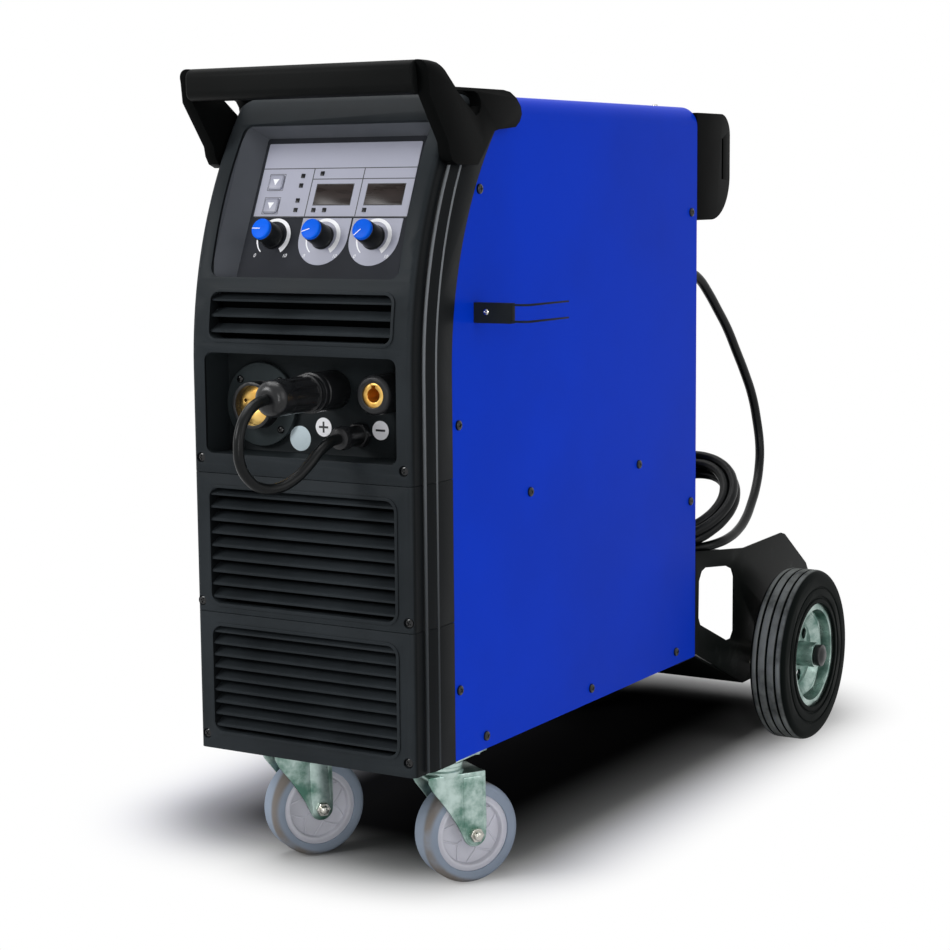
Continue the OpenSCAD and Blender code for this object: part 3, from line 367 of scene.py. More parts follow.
def make_finishes(settings):
    """Every finish of the machine by its short name."""
    enamelled, black, insert, label = [(*colour, 1.0) for colour in (
        settings.enamel, settings.moulding, settings.knob_insert, settings.label)]
    lengthwise, across = (1.0, 8.0, 1.0), (1.0, 4.0, 1.0)
    return {
        # The front mouldings' flanks get painted shade, darkened to 0.3 of their colour.
        "moulding": moulded("black moulding", black, 0.42, sides=0.3),
        # Painted highlight on the raised lines along the rounded moulding corners.
        "bead": highlight_bead_line("moulding bead", rgb("303437"), rgb("777B7F")),
        "bracket": moulded("bracket moulding", rgb("070808"), 0.46, COARSE, 0.15, 0.02),
        "grip": moulded("handle moulding", rgb("0E0F0F"), 0.46, COARSE, 0.15, 0.035),
        "panel": moulded("panel plate", rgb("292B30"), 0.5, FINE, 0.1),
        "surround": moulded("panel surround", rgb("54575D"), 0.5, FINE, 0.1),
        "tub": moulded("recess moulding", rgb("1B1F21"), 0.5, FINE, 0.1),
        "flange": moulded("torch flange", rgb("2E3436"), 0.45, TEXTURED, 0.1),
        # Painted shade: near-black sheets behind the louvres for the dark inside of the case.
        "gloom": moulded("grille screen", rgb("070809"), 0.7, FINE, 0.0, 0.0),
        "knob": moulded("knob body", rgb("131517"), 0.34, POLISHED, 0.0, 0.2),
        "cap": moulded("knob insert", insert, 0.3, GLOSSY, 0.0),
        "red": moulded("red lever", rgb("B3201C"), 0.35, GLOSSY, 0.0),
        "socket": moulded("socket body", rgb("17181A"), 0.3, POLISHED, 0.1, 0.3),
        "caster_hub": moulded("caster hub", rgb("C9C9D2"), 0.45, SATIN, 0.1),
        "black_screw": moulded("blackened screw", rgb("0C0D0F"), 0.16, POLISHED, 0.0, 0.4),
        "white": film("white print", rgb("E9EAEE")),
        "print": film("black print", rgb("17181C")),
        "label": film("label film", label),
        "sticker": film("pale sticker", rgb("C3D3DA")),
        "window": window("display window", rgb("241D1B")),
        "lamp": window("indicator window", rgb("0B0C10")),
        "enamel": enamel("blue enamel", enamelled),
        "powder": powder("black powder coat", rgb("060908"), 0.5),
        "dark_steel": powder("motor paint", rgb("2D2E30"), 0.42),
        "brass": metal("brass", rgb("E7C274"), rgb("D3A352"), 0.3, lengthwise),
        "bright": metal("bright screw", rgb("C9C7C0"), rgb("A8A79F"), 0.22, across),
        "zinc": metal("zinc plate", rgb("B2C4BF"), rgb("4C7063"), 0.28, (1.0, 1.0, 5.0)),
        "galvanised": metal("galvanised sheet", rgb("A9B3AE"), rgb("8B9A94"), 0.36, (1.0, 1.0, 4.0)),
        "rim": metal("rim zinc plate", rgb("A2B4AE"), rgb("58776E"), 0.26, (1.0, 1.0, 3.0)),
        "alloy": metal("cast alloy", rgb("B4B6B8"), shade(rgb("B4B6B8"), 0.9), 0.42),
        "cable": rubber("cable sheath", rgb("0B0D0E"), 0.3, 0.35),
        "tyre": tread_rubber("solid tyre", "tyre_right", rgb("070B0A"), rgb("7E8280"), 0.0016),
        "caster_left": tread_rubber(
            "caster tyre left", "caster_tyre_left", rgb("7E8896"), rgb("77716C"), 0.005),
        "caster_right": tread_rubber(
            "caster tyre right", "caster_tyre_right", rgb("7E8896"), rgb("77716C"), 0.005),
    }


FINISH = {}


def coat(obj, finish):
    """Gives a piece or a CAD node one finish by its short name."""
    obj.data.materials.clear()
    obj.data.materials.append(FINISH[finish])
    return obj


# --- modelling helpers ------------------------------------------------------


def deselect():
    """Leaves edit mode and selects nothing."""
    if bpy.context.object and bpy.context.object.mode != "OBJECT":
        bpy.ops.object.mode_set(mode="OBJECT")
    bpy.ops.object.select_all(action="DESELECT")


def activate(obj):
    """Makes one object the selected and active one."""
    deselect()
    obj.select_set(True)
    bpy.context.view_layer.objects.active = obj


def named(name):
    """Names the active object and its data."""
    obj = bpy.context.object
    obj.name = name
    obj.data.name = name
    return obj


def apply_place(obj):
    """Moves an object's transform into its mesh."""
    activate(obj)
    bpy.ops.object.transform_apply(location=True, rotation=True, scale=True)
    return obj


def put(obj, matrix):
    """Moves a piece modelled at the origin to its place on the machine, in its mesh."""
    obj.matrix_world = matrix
    return apply_place(obj)


def bevel(obj, width, segments=2, angle=40):
    """Rounds the edges that turn by more than an angle, to a width in mm."""
    activate(obj)
    rounding = obj.modifiers.new("rounding", "BEVEL")
    rounding.width = width * MM
    rounding.segments = segments
    rounding.limit_method = "ANGLE"
    rounding.angle_limit = math.radians(angle)
    rounding.harden_normals = False
    bpy.ops.object.modifier_apply(modifier=rounding.name)


def smooth(obj, angle=35):
    """Shades smooth across edges that turn by less than an angle."""
    activate(obj)
    bpy.ops.object.shade_smooth_by_angle(angle=math.radians(angle))
    return obj


def finish_piece(obj, finish, body):
    """Coats a new piece and lets it ride on its body."""
    coat(obj, finish)
    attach(obj, body)
    return obj


def rounded_copy(node, width):
    """A copy of a CAD node with its edges broken to a width in mm."""
    copy = bpy.data.objects.new(node + "_moulded", frame["nodes"][node].data.copy())
    bpy.context.scene.collection.objects.link(copy)
    activate(copy)
    bpy.ops.object.mode_set(mode="EDIT")
    bpy.ops.mesh.select_all(action="SELECT")
    bpy.ops.mesh.remove_doubles(threshold=0.00001)
    bpy.ops.mesh.dissolve_limited(angle_limit=math.radians(0.5))
    bpy.ops.object.mode_set(mode="OBJECT")
    bevel(copy, width, 2, 35)
    return smooth(copy)


def body_of(node):
    """The name of the CAD body that a node belongs to."""
    for body, nodes in frame["record"]["behaviour"]["bodies"].items():
        if node in nodes:
            return body
    raise ValueError(node)


def break_edges(node, width, finish):
    """Puts a copy with broken edges in the place of a CAD node."""
    copy = rounded_copy(node, width)
    finish_piece(copy, finish, body_of(node))
    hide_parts(node)
    return copy


def block(size, at):
    """A box from its size and the middle of its underside, in mm."""
    bpy.ops.mesh.primitive_cube_add(size=1, location=(at[0] * MM, at[1] * MM, (at[2] + size[2] / 2) * MM))
    obj = bpy.context.object
    obj.scale = [s * MM for s in size]
    return apply_place(obj)


def join(pieces, name):
    """Makes several objects one and names it."""
    deselect()
    for piece in pieces:
        piece.select_set(True)
    bpy.context.view_layer.objects.active = pieces[0]
    if len(pieces) > 1:
        bpy.ops.object.join()
    return named(name)


def open_mesh(name, points, edges, faces):
    """A mesh from its points in mm, left in edit mode with all of it selected."""
    mesh = bpy.data.meshes.new(name)
    obj = bpy.data.objects.new(name, mesh)
    bpy.context.scene.collection.objects.link(obj)
    mesh.from_pydata([[c * MM for c in point] for point in points], edges, faces)
    activate(obj)
    bpy.ops.object.mode_set(mode="EDIT")
    bpy.ops.mesh.select_all(action="SELECT")
    return obj


def close_mesh():
    """Points the faces of the mesh in edit mode outwards and leaves the mode."""
    bpy.ops.mesh.select_all(action="SELECT")
    bpy.ops.mesh.normals_make_consistent(inside=False)
    bpy.ops.object.mode_set(mode="OBJECT")


def slab(name, points, faces, thickness):
    """Flat faces given a thickness in mm along Z."""
    obj = open_mesh(name, points, [], faces)
    bpy.ops.mesh.extrude_region_move(TRANSFORM_OT_translate={"value": (0, 0, thickness * MM)})
    close_mesh()
    return obj


def plate(outline, thickness, low=0.0):
    """A flat plate from its outline in mm, lying on z = low of its own axes."""
    return slab("plate", [(x, y, low) for x, y in outline], [list(range(len(outline)))], thickness)


def arc(centre, radius, start, end, steps):
    """Points along an arc, angles in degrees."""
    angles = [math.radians(start + (end - start) * i / steps) for i in range(steps + 1)]
    return [(centre[0] + radius * math.cos(a), centre[1] + radius * math.sin(a)) for a in angles]


def round_plate(radius, thickness):
    """A flat disc with 32 corners, on z = 0 of its own axes, in mm."""
    return plate(arc((0, 0), radius, 0, 348.75, 31), thickness)


def round_rect(width, height, radius, centre=(0, 0)):
    """Outline of a rectangle with rounded corners."""
    points = []
    for sx, sy, start in ((1, 1, 0), (-1, 1, 90), (-1, -1, 180), (1, -1, 270)):
        corner = (centre[0] + sx * (width / 2 - radius), centre[1] + sy * (height / 2 - radius))
        points += arc(corner, radius, start, start + 90, 5)
    return points


# Height of a line of text over the height of its figures, and half the figures' relief
LINE_HEIGHT, FIGURE_RELIEF = 1.38, 0.05


def figures(text, height, centre, low):
    """Raised leaning figures for a dial, centred on a point of its own axes in mm."""
    bpy.ops.object.text_add(location=(0, 0, 0))
    obj = bpy.context.object
    obj.data.body = text
    obj.data.size = height * LINE_HEIGHT * MM
    obj.data.shear = 0.25
    obj.data.align_x = "CENTER"
    obj.data.align_y = "CENTER"
    obj.data.extrude = FIGURE_RELIEF * MM
    obj = to_mesh(obj)
    obj.location = (centre[0] * MM, centre[1] * MM, (low + FIGURE_RELIEF) * MM)
    return apply_place(obj)


# --- cords ------------------------------------------------------------------

MAINS_ROUTE = [
    (95, 628, 570), (95, 648, 569), (96, 668, 561), (97, 690, 545), (98, 714, 524), (99, 740, 500),
    (100, 764, 472), (101, 788, 443), (102, 808, 414), (104, 818, 384), (108, 819, 350), (112, 808, 326),
    (117, 788, 305), (122, 762, 287), (127, 735, 274), (130, 705, 264), (130.5, 675, 258.5),
    (127.5, 657, 256), (119, 642, 253.3),
]
PLUG_ROUTE = [
    (46, 615.5, 252.6), (26, 619, 252.8), (8, 627, 254), (-7, 636, 255.4), (-21, 640, 256), (-36, 640, 256),
]
PLUG_AT = (-50, 640, 256)
COIL_AT = (66, 672, 296)
COIL_LEAN = math.radians(37)
COIL_SLOTS = [(71.5, -11), (60.5, -11), (60.5, 0), (60.5, 11), (71.5, 11), (71.5, 0)]
# Degrees: where the coil starts, how far it travels, one turn, and the part of it spent moving over
COIL_START, COIL_TRAVEL, TURN, SHIFT = -60, 1830, 320, 90
MAINS_DIAMETER, LEAD_DIAMETER = 0.011, 0.010
LEAD_ROUTE = [
    (45, -1.2, 442), (45, -14, 440.5), (43.5, -28, 434), (40, -42.5, 421.5), (34, -57, 410), (27, -73, 404),
    (21, -88.5, 406), (17, -101, 415), (15, -109.5, 428.5), (15, -112, 443.5), (15, -109, 458.5),
    (15, -100.5, 471), (15, -87, 479.7), (15, -71.2, 483),
]


def coil_point(travelled):
    """A point of the coil; each turn moves to its neighbouring place shortly before it closes."""
    turn = min(int(travelled // TURN), len(COIL_SLOTS) - 1)
    here, there = COIL_SLOTS[turn], COIL_SLOTS[min(turn + 1, len(COIL_SLOTS) - 1)]
    step = min(1.0, max(0.0, (travelled - turn * TURN - (TURN - SHIFT)) / SHIFT))
    step = step ** 2 * (3 - 2 * step)
    radius, height = [a + (b - a) * step for a, b in zip(here, there)]
    angle = math.radians(COIL_START - travelled)
    reach = radius * math.sin(angle)
    return place(
        COIL_AT[0] + radius * math.cos(angle),
        COIL_AT[1] + reach * math.cos(COIL_LEAN) - height * math.sin(COIL_LEAN),
        COIL_AT[2] + reach * math.sin(COIL_LEAN) + height * math.cos(COIL_LEAN),
    )


def cord_curve(name, points, diameter, rings=5, steps=6):
    """A round cord along points in metres, as one smooth open spline."""
    curve = bpy.data.curves.new(name, "CURVE")
    curve.dimensions = "3D"
    curve.bevel_depth = diameter / 2
    curve.bevel_resolution = rings
    curve.resolution_u = steps
    curve.use_fill_caps = True
    spline = curve.splines.new("BEZIER")
    spline.bezier_points.add(len(points) - 1)
    for bezier, point in zip(spline.bezier_points, points):
        bezier.co = point
        bezier.handle_left_type = bezier.handle_right_type = "AUTO"
    obj = bpy.data.objects.new(name, curve)
    bpy.context.scene.collection.objects.link(obj)
    return obj


def to_mesh(obj):
    """Turns a curve or a text into a mesh."""
    activate(obj)
    bpy.ops.object.convert(target="MESH")
    return bpy.context.object


def length_of(points):
    """Length of the line through points."""
    return sum((b - a).length for a, b in zip(points, points[1:]))


def lathe(profile, steps, name):
    """Spins a profile of (radius, height) in mm round the Z axis of its own axes."""
    edges = [(i, i + 1) for i in range(len(profile) - 1)]
    obj = open_mesh(name, [(r, 0, z) for r, z in profile], edges, [])
    bpy.ops.mesh.spin(steps=steps, angle=2 * math.pi, center=(0, 0, 0), axis=(0, 0, 1))
    bpy.ops.mesh.select_all(action="SELECT")
    bpy.ops.mesh.remove_doubles(threshold=0.000005)
    close_mesh()
    return obj


def ring_of(count, size, base, radius, lean=0.0):
    """Blocks spaced round the Z axis: their size, the height of their foot, how far out, and their lean."""
    blocks = []
    for k in range(count):
        turn = Matrix.Rotation(math.radians(360 * k / count), 4, "Z")
        out = Matrix.Translation((radius * MM, 0, 0))
        tilt = Matrix.Rotation(math.radians(lean), 4, "Y")
        blocks.append(put(block(size, (0, 0, base)), turn @ out @ tilt))
    return blocks


def facing(direction, at, turn=0.0):
    """Places Z of a piece's own axes along a direction, at a point of the machine."""
    turned = Vector(direction).to_track_quat("Z", "Y").to_matrix().to_4x4()
    return Matrix.Translation(at) @ turned @ Matrix.Rotation(math.radians(turn), 4, "Z")


def mains_plug():
    """Moulded two-pin plug with a ribbed boot, lying on the shelf."""
    body = lathe(
        [(0, -38), (15.5, -38), (17.2, -37.2), (17.5, -35.8), (17.5, -33), (19, -32), (19.4, -30.5),
         (19.4, -1), (18.6, 2.5), (15.5, 5.4), (11.5, 7), (9, 7.2), (8.6, 9)]
        + [p for i in range(5) for p in (
            (9.4 - 0.45 * i, 9.6 + 4 * i), (9.4 - 0.45 * i, 11.6 + 4 * i), (7.9 - 0.4 * i, 12.2 + 4 * i),
            (7.8 - 0.4 * i, 13.2 + 4 * i))]
        + [(5.6, 29), (4.6, 29)],
        40, "plug_body",
    )
    plug = join([body, *ring_of(12, (1.6, 3.2, 20), -27, 19.1)], "mains_plug_body")
    bevel(plug, 0.4, 2, 50)
    smooth(plug, 40)
    put(plug, facing((1, 0, 0), place(*PLUG_AT)))
    finish_piece(plug, "cable", "frame")
    pins = []
    for side in (-1, 1):
        pin = lathe([(0, -59.4), (1.5, -59.0), (2.4, -57.4), (2.4, -37)], 20, "pin")
        pins.append(put(pin, Matrix.Translation((side * 9.5 * MM, 0, 0))))
    pins = join(pins, "mains_plug_pins")
    smooth(pins, 40)
    put(pins, facing((1, 0, 0), place(*PLUG_AT), 90))
    finish_piece(pins, "bright", "frame")
    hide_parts("mains_plug")
    return plug, pins


def make_mains_cord():
    """The mains cord from its gland through the coil on the shelf to its plug."""
    plug, pins = mains_plug()
    coil = [coil_point(t) for t in range(0, COIL_TRAVEL + 1, 15)]
    points = [place(*p) for p in MAINS_ROUTE] + coil + [place(*p) for p in PLUG_ROUTE]
    cord = cord_curve("mains_cord", points, MAINS_DIAMETER)
    finish_piece(cord, "cable", "frame")
    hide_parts("mains_cable", "cable_coil")
    tuple(place(*MAINS_ROUTE[0]))
    length_of(points)


def make_polarity_lead():
    """The short lead from its gland to the plug in the positive socket."""
    plug = break_edges("polarity_plug", 0.5, "socket")
    points = [place(*p) for p in LEAD_ROUTE]
    lead = cord_curve("polarity_cord", points, LEAD_DIAMETER)
    finish_piece(lead, "cable", "frame")
    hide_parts("polarity_lead")
    length_of(points)


def gland(nut_radius, nut_height, profile, ribs_at, rib_radius):
    """One cord gland: hexagon nut, turned body and gripping ribs round its cap."""
    hexagon = lathe([(0, 0), (nut_radius, 0), (nut_radius, nut_height), (0, nut_height)], 6, "hexagon")
    body = lathe(profile, 40, "body")
    foot, top = ribs_at
    piece = join([hexagon, body, *ring_of(18, (0.8, 1.3, top - foot), foot, rib_radius)], "gland")
    bevel(piece, 0.35, 2, 50)
    return smooth(piece, 40)


def make_glands():
    """Hexagon glands where both cords pass the case: a long one in front, a sleeved one behind."""
    front = gland(
        12.2, 8,
        [(0, 7), (9.3, 7), (9.3, 25.6), (10.5, 26.4), (10.9, 28), (10.9, 35.6), (10, 38), (7.4, 39.2),
         (0, 39.2)],
        (28, 35.2), 10.8,
    )
    back = gland(
        13, 5.6,
        [(0, 5), (10.8, 5.4), (11, 8), (10.8, 15), (9.6, 18), (8, 19.6), (7.9, 20)]
        + [p for i in range(4) for p in ((7.8 - 0.4 * i, 20.4 + 2.6 * i), (6.9 - 0.3 * i, 21.3 + 2.6 * i))]
        + [(5.9, 30.5), (0, 31)],
        (6.2, 14.8), 11.0,
    )
    put(front, facing((0, -1, 0), place(45, RECESS_DEPTH, 442)))
    put(back, facing((0, 1, 0), place(95, 598, 570)))
    glands = join([front, back], "cord_glands")
    finish_piece(glands, "socket", "frame")
    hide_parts("cable_glands")


# --- control panel ----------------------------------------------------------

# Thickness of the panel's face, of its tongues and of a print, and where the prints lie
FACE, TONGUE, PRINT = 0.3, 0.45, 0.08
FILM, KEY_TOP = 0.8, 2.2
FIGURE_HEIGHT = 3.6
KNOB_X, KNOB_U = (-58, -1, 56), -30
KNOB_SIDES = ("left", "middle", "right")
KNOB_REST = (180, 200, 225)
BUTTON_X, BUTTON_U = -69, {"upper": 26, "lower": 2}
DISPLAY_X, DISPLAY_U, DISPLAY_SIZE = (0, 57.5), 13.2, (41, 20.5)
LED_SPOTS = [
    (-39.5, 32.4), (-39.5, 22.6), (-39.5, 7.4), (-39.5, -2.4), (-17.8, 34.7), (-18.9, -2.5), (-6.5, -2.5),
    (38.4, -2.5),
]


def bar(x0, x1, u0, u1, low, thickness=PRINT):
    """A flat bar between two x and two heights on the panel, in mm."""
    return plate([(x0, u0), (x1, u0), (x1, u1), (x0, u1)], thickness, low)


def frame_bars(centre, size, line, low):
    """Four thin bars round a rectangle."""
    (x, u), (w, h) = centre, size
    return [
        bar(x - w / 2, x + w / 2, u + h / 2 - line, u + h / 2, low),
        bar(x - w / 2, x + w / 2, u - h / 2, u - h / 2 + line, low),
        bar(x - w / 2, x - w / 2 + line, u - h / 2 + line, u + h / 2 - line, low),
        bar(x + w / 2 - line, x + w / 2, u - h / 2 + line, u + h / 2 - line, low),
    ]


def dial_ring(x, low):
    """White scale round a knob, open at the bottom and broader towards its upper figure."""
    steps = 54
    outer, inner = [], []
    for i in range(steps + 1):
        t = i / steps
        angle = math.radians(232 - 284 * t)
        for edge, radius in ((outer, 19.2), (inner, 18.2 - 4.2 * t)):
            edge.append((x + radius * math.cos(angle), KNOB_U + radius * math.sin(angle), low))
    faces = [(i, i + 1, steps + 2 + i, steps + 1 + i) for i in range(steps)]
    return slab("dial_ring", outer + inner, faces, PRINT)


def make_panel_label():
    """The panel's face with its tongues, rules and dials."""
    face = plate(round_rect(181.4, 143.4, 3), FACE)
    face.name = face.data.name = "panel_face"
    put(face, PANEL_FRAME)
    finish_piece(face, "panel", "frame")
    tongues = []
    for x in KNOB_X[1:]:
        outline = arc((x, KNOB_U), 27.6, 180, 360, 32) + [(x + 27.6, -10.4), (x - 27.6, -10.4)]
        tongues.append(plate(outline, TONGUE))
    tongues = join(tongues, "label_tongues")
    bevel(tongues, 0.12, 1, 60)
    put(tongues, PANEL_FRAME)
    finish_piece(tongues, "label", "frame")

    rules = [
        bar(-87, 87, 39.6, 40.5, FILM),
        bar(-27.6, 87, 28.6, 29.5, FILM),
        bar(-28.1, -27.1, -9.5, 39.6, FILM),
        bar(29.0, 30.0, -9.5, 39.6, FILM),
        bar(-87, 87, -9.5, -8.7, FILM),
    ]
    for u in BUTTON_U.values():
        rules += frame_bars((BUTTON_X, u), (18.6, 17.2), 0.45, FILM)
    around = [side + 1.6 for side in DISPLAY_SIZE]
    for x in DISPLAY_X:
        rules += frame_bars((x, DISPLAY_U), around, 0.8, FILM)
    rules = put(join(rules, "label_rules"), PANEL_FRAME)
    finish_piece(rules, "print", "frame")

    prints = []
    for x in KNOB_X:
        low = FACE if x == KNOB_X[0] else TONGUE
        prints += [
            dial_ring(x, low),
            figures("0", FIGURE_HEIGHT, (x - 17.5, KNOB_U - 18.5), low),
            figures("10", FIGURE_HEIGHT, (x + 17.2, KNOB_U - 18.5), low),
        ]
    prints = put(join(prints, "dial_prints"), PANEL_FRAME)
    finish_piece(prints, "white", "frame")


def make_windows():
    """The two display windows and the small indicator windows."""
    displays = [plate(round_rect(*DISPLAY_SIZE, 0.8, (x, DISPLAY_U)), 1.3) for x in DISPLAY_X]
    displays = join(displays, "display_windows")
    bevel(displays, 0.25, 2, 50)
    smooth(displays)
    put(displays, PANEL_FRAME)
    finish_piece(displays, "window", "frame")
    lamps = [plate(round_rect(4.4, 4.4, 0.5, spot), 1.4) for spot in LED_SPOTS]
    lamps = join(lamps, "indicator_windows")
    bevel(lamps, 0.3, 2, 50)
    smooth(lamps)
    put(lamps, PANEL_FRAME)
    finish_piece(lamps, "lamp", "frame")
    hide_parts("display_lenses")


def make_buttons():
    """The two push buttons with an arrow and a line round each."""
    for side, u in BUTTON_U.items():
        key = break_edges("button_" + side, 0.5, "label")
        outline = [(BUTTON_X, u - 3.4), (BUTTON_X + 3.6, u + 2.9), (BUTTON_X - 3.6, u + 2.9)]
        arrow = plate(outline, PRINT, KEY_TOP)
        arrow.name = arrow.data.name = "button_arrow_" + side
        put(arrow, PANEL_FRAME)
        finish_piece(arrow, "white", body_of("button_" + side))
        edge = join(frame_bars((BUTTON_X, u), (14.6, 13.2), 0.3, KEY_TOP), "button_line_" + side)
        put(edge, PANEL_FRAME)
        finish_piece(edge, "print", body_of("button_" + side))
        key.name = "button_key_" + side


def make_knobs():
    """The three knobs, each a ribbed body, an insert and a pointer at the knob's rest."""
    for side, x, rest in zip(KNOB_SIDES, KNOB_X, KNOB_REST):
        body = body_of("knob_" + side)
        at = PANEL_FRAME @ Matrix.Translation((x * MM, KNOB_U * MM, 0))
        skirt = lathe(
            [(0, 0.6), (11.7, 0.6), (12, 0.9), (12, 2.6), (11.8, 3.3), (11.4, 3.6), (11.3, 4.4), (10.7, 17.6),
             (10.4, 18.9), (9.9, 19.4), (0, 19.4)],
            64, "knob_skirt",
        )
        flutes = ring_of(24, (0.7, 0.9, 12.5), 4.6, 10.85, -2.2)
        skirt = join([skirt, *flutes], "knob_body_" + side)
        bevel(skirt, 0.2, 2, 50)
        smooth(skirt, 40)
        put(skirt, at)
        finish_piece(skirt, "knob", body)
        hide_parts("knob_" + side)
        insert = lathe(
            [(0, 19.4), (9.9, 19.4), (10.15, 19.8), (10.15, 22.0), (9.9, 22.7), (9.3, 23.1), (8.4, 23.25),
             (0, 23.3)],
            64, "knob_insert_" + side,
        )
        smooth(insert, 30)
        put(insert, at)
        finish_piece(insert, "cap", body)
        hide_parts("knob_cap_" + side)
        pointer = block((9.0, 0.75, 0.2), (5.0, 0, 23.2))
        pointer.name = pointer.data.name = "knob_pointer_" + side
        bevel(pointer, 0.08, 1, 50)
        put(pointer, at @ Matrix.Rotation(math.radians(rest), 4, "Z"))
        finish_piece(pointer, "white", body)


# --- socket recess ----------------------------------------------------------


RECESS_DEPTH = 38
TORCH_X, TORCH_Z = -67, 466
# Half width, foot, top and depth of each dark screen, a painted shade for the dark inside of the case
SHADE_SCREENS = ((106, 149, 255, 19), (106, 275, 389, 19), (103, 529, 575, 25))


def on_wall(x, z, depth=RECESS_DEPTH):
    """Axes whose Z looks out of the recess, with X to the right and Y up."""
    upright = Matrix(((1, 0, 0), (0, 0, -1), (0, 1, 0))).to_4x4()
    return Matrix.Translation(place(x, depth, z)) @ upright


def make_recess_marks():
    """Polarity signs beside the sockets, and a round sticker."""
    backs, signs = [], []
    for x, z, upright in ((2, 447, True), (66, 447, False)):
        backs.append(put(round_plate(9, 0.3), on_wall(x, z)))
        signs.append(put(bar(-5.2, 5.2, -1.0, 1.0, 0.3, 0.12), on_wall(x, z)))
        if upright:
            signs.append(put(bar(-1.0, 1.0, -5.2, 5.2, 0.3, 0.14), on_wall(x, z)))
    finish_piece(join(backs, "polarity_discs"), "white", "frame")
    finish_piece(join(signs, "polarity_signs"), "print", "frame")
    sticker = put(round_plate(12, 0.25), on_wall(-25, 435))
    sticker.name = sticker.data.name = "round_sticker"
    finish_piece(sticker, "sticker", "frame")


def make_sockets():
    """The recess with its sockets, and the flange round the torch connector."""
    for node, width, finish in (
        ("socket_recess", 0.6, "tub"), ("socket_bodies", 0.6, "socket"), ("socket_contacts", 0.35, "brass"),
    ):
        break_edges(node, width, finish)
    profile = [(22.6, 0), (40.2, 0), (40.2, 4.6), (39.6, 5.2), (23, 5.2), (22.6, 4.8)]
    flange = lathe(profile, 72, "torch_flange")
    bevel(flange, 0.2, 2, 50)
    smooth(flange)
    put(flange, facing((0, -1, 0), place(TORCH_X, RECESS_DEPTH, TORCH_Z)))
    finish_piece(flange, "flange", "frame")


def make_grille_shade_screens():
    """Dark screens behind the louvres: painted shade for the dark inside of the case."""
    screens = []
    for half, low, high, depth in SHADE_SCREENS:
        screen = plate(round_rect(2 * half, high - low, 8), 0.6)
        screens.append(put(screen, on_wall(0, (low + high) / 2, depth)))
    finish_piece(join(screens, "grille_screens"), "gloom", "frame")


# --- screws -----------------------------------------------------------------

FRONT_SCREWS = [(116, 145.5), (118, 276.5), (115, 416)]
SIDE_SCREWS = [
    (120.8, 668.1), (79.1, 450.6), (77.2, 199.5), (582.8, 639.5), (583.6, 314), (547.1, 146.8),
    (342.6, 146.7), (125.6, 144.6), (214.5, 371.3), (453.1, 371.2),
]
FLANGE_RING, FLANGE_FACE = 33, 33


def screw_head(radius, height):
    """Pan head with a cross recess, standing on z = 0 of its own axes."""
    head = lathe(
        [(0, 0), (radius, 0), (radius, height * 0.35), (radius * 0.93, height * 0.68),
         (radius * 0.74, height * 0.9), (radius * 0.45, height), (0, height)],
        28, "screw_head",
    )
    cross = join([
        block((radius * 1.15, radius * 0.26, height), (0, 0, height * 0.45)),
        block((radius * 0.26, radius * 1.15, height * 1.1), (0, 0, height * 0.42)),
    ], "cross")
    activate(head)
    cut = head.modifiers.new("recess", "BOOLEAN")
    cut.operation = "DIFFERENCE"
    cut.solver = "EXACT"
    cut.use_self = True
    cut.object = cross
    bpy.ops.object.modifier_apply(modifier=cut.name)
    bpy.data.objects.remove(cross)
    return smooth(head, 30)


def copies(source, places, name):
    """One piece made of copies of a small one, set at each of the places."""
    made = []
    for matrix in places:
        copy = source.copy()
        copy.data = source.data.copy()
        bpy.context.scene.collection.objects.link(copy)
        made.append(put(copy, matrix))
    bpy.data.objects.remove(source)
    return join(made, name)


def screw_set(source, places, name, finish="black_screw"):
    """Copies of one screw as a finished piece."""
    screws = copies(source, places, name)
    return finish_piece(screws, finish, "frame")


def flange_place(angle):
    """Where a screw sits on the torch flange, an angle round it."""
    across, up = [FLANGE_RING * way(math.radians(angle)) for way in (math.cos, math.sin)]
    return facing((0, -1, 0), place(TORCH_X + across, FLANGE_FACE, TORCH_Z + up), angle)


def make_screws():
    """The screws of the sides, the front, the flange and the deck, and four plated ones."""
    right = corners("cover_panel")[1].x / MM
    side = [facing((1, 0, 0), place(right, d, z), 17 * i) for i, (d, z) in enumerate(SIDE_SCREWS)]
    side = screw_set(screw_head(4.8, 2.8), side, "side_screws")
    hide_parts("case_screws")
    front = [
        facing((0, -1, 0), place(s * x, 3, z), 23 * i + 40 * s)
        for i, (x, z) in enumerate(FRONT_SCREWS) for s in (-1, 1)
    ]
    screw_set(screw_head(4.4, 2.0), front, "front_screws")
    screw_set(screw_head(3.6, 2.5), [flange_place(a) for a in (45, 135, 225, 315)], "flange_screws")
    bolt = lathe([(0, 0), (6, 0), (6, 4.2), (5.4, 5), (0, 5)], 6, "bolt")
    screw_set(bolt, [facing((0, 0, 1), place(x, 575, 125)) for x in (-90, 90)], "deck_bolts", "zinc")
    hook_front = corners("cable_hook")[0].y
    plated = [
        facing((0, -1, 0), Vector((139 * MM, hook_front, 554.5 * MM))),
        facing((0, 0, 1), place(99.5, 543, corners("cover_panel")[1].z / MM)),
        *[facing((s, 0, 0), place(s * right, 757, 95)) for s in (-1, 1)],
    ]
    screw_set(screw_head(3.0, 2.0), plated, "plated_screws", "bright")


# --- casters ----------------------------------------------------------------

CASTER_X, CASTER_DEPTH, CASTER_TRAIL, CASTER_AXLE_Z = 90, 99, 26, 50
CASTER_HEADING = 32
# From the middle of a fork to the inside of a cheek
FORK_GAP = 17.6


def caster_axes(side):
    """Axes at a caster's swivel: X along the trailing arm, Y along the axle, Z up."""
    return Matrix.Translation(place(side * CASTER_X, CASTER_DEPTH, 0)) @ Matrix.Rotation(
        math.radians(90 - CASTER_HEADING), 4, "Z")


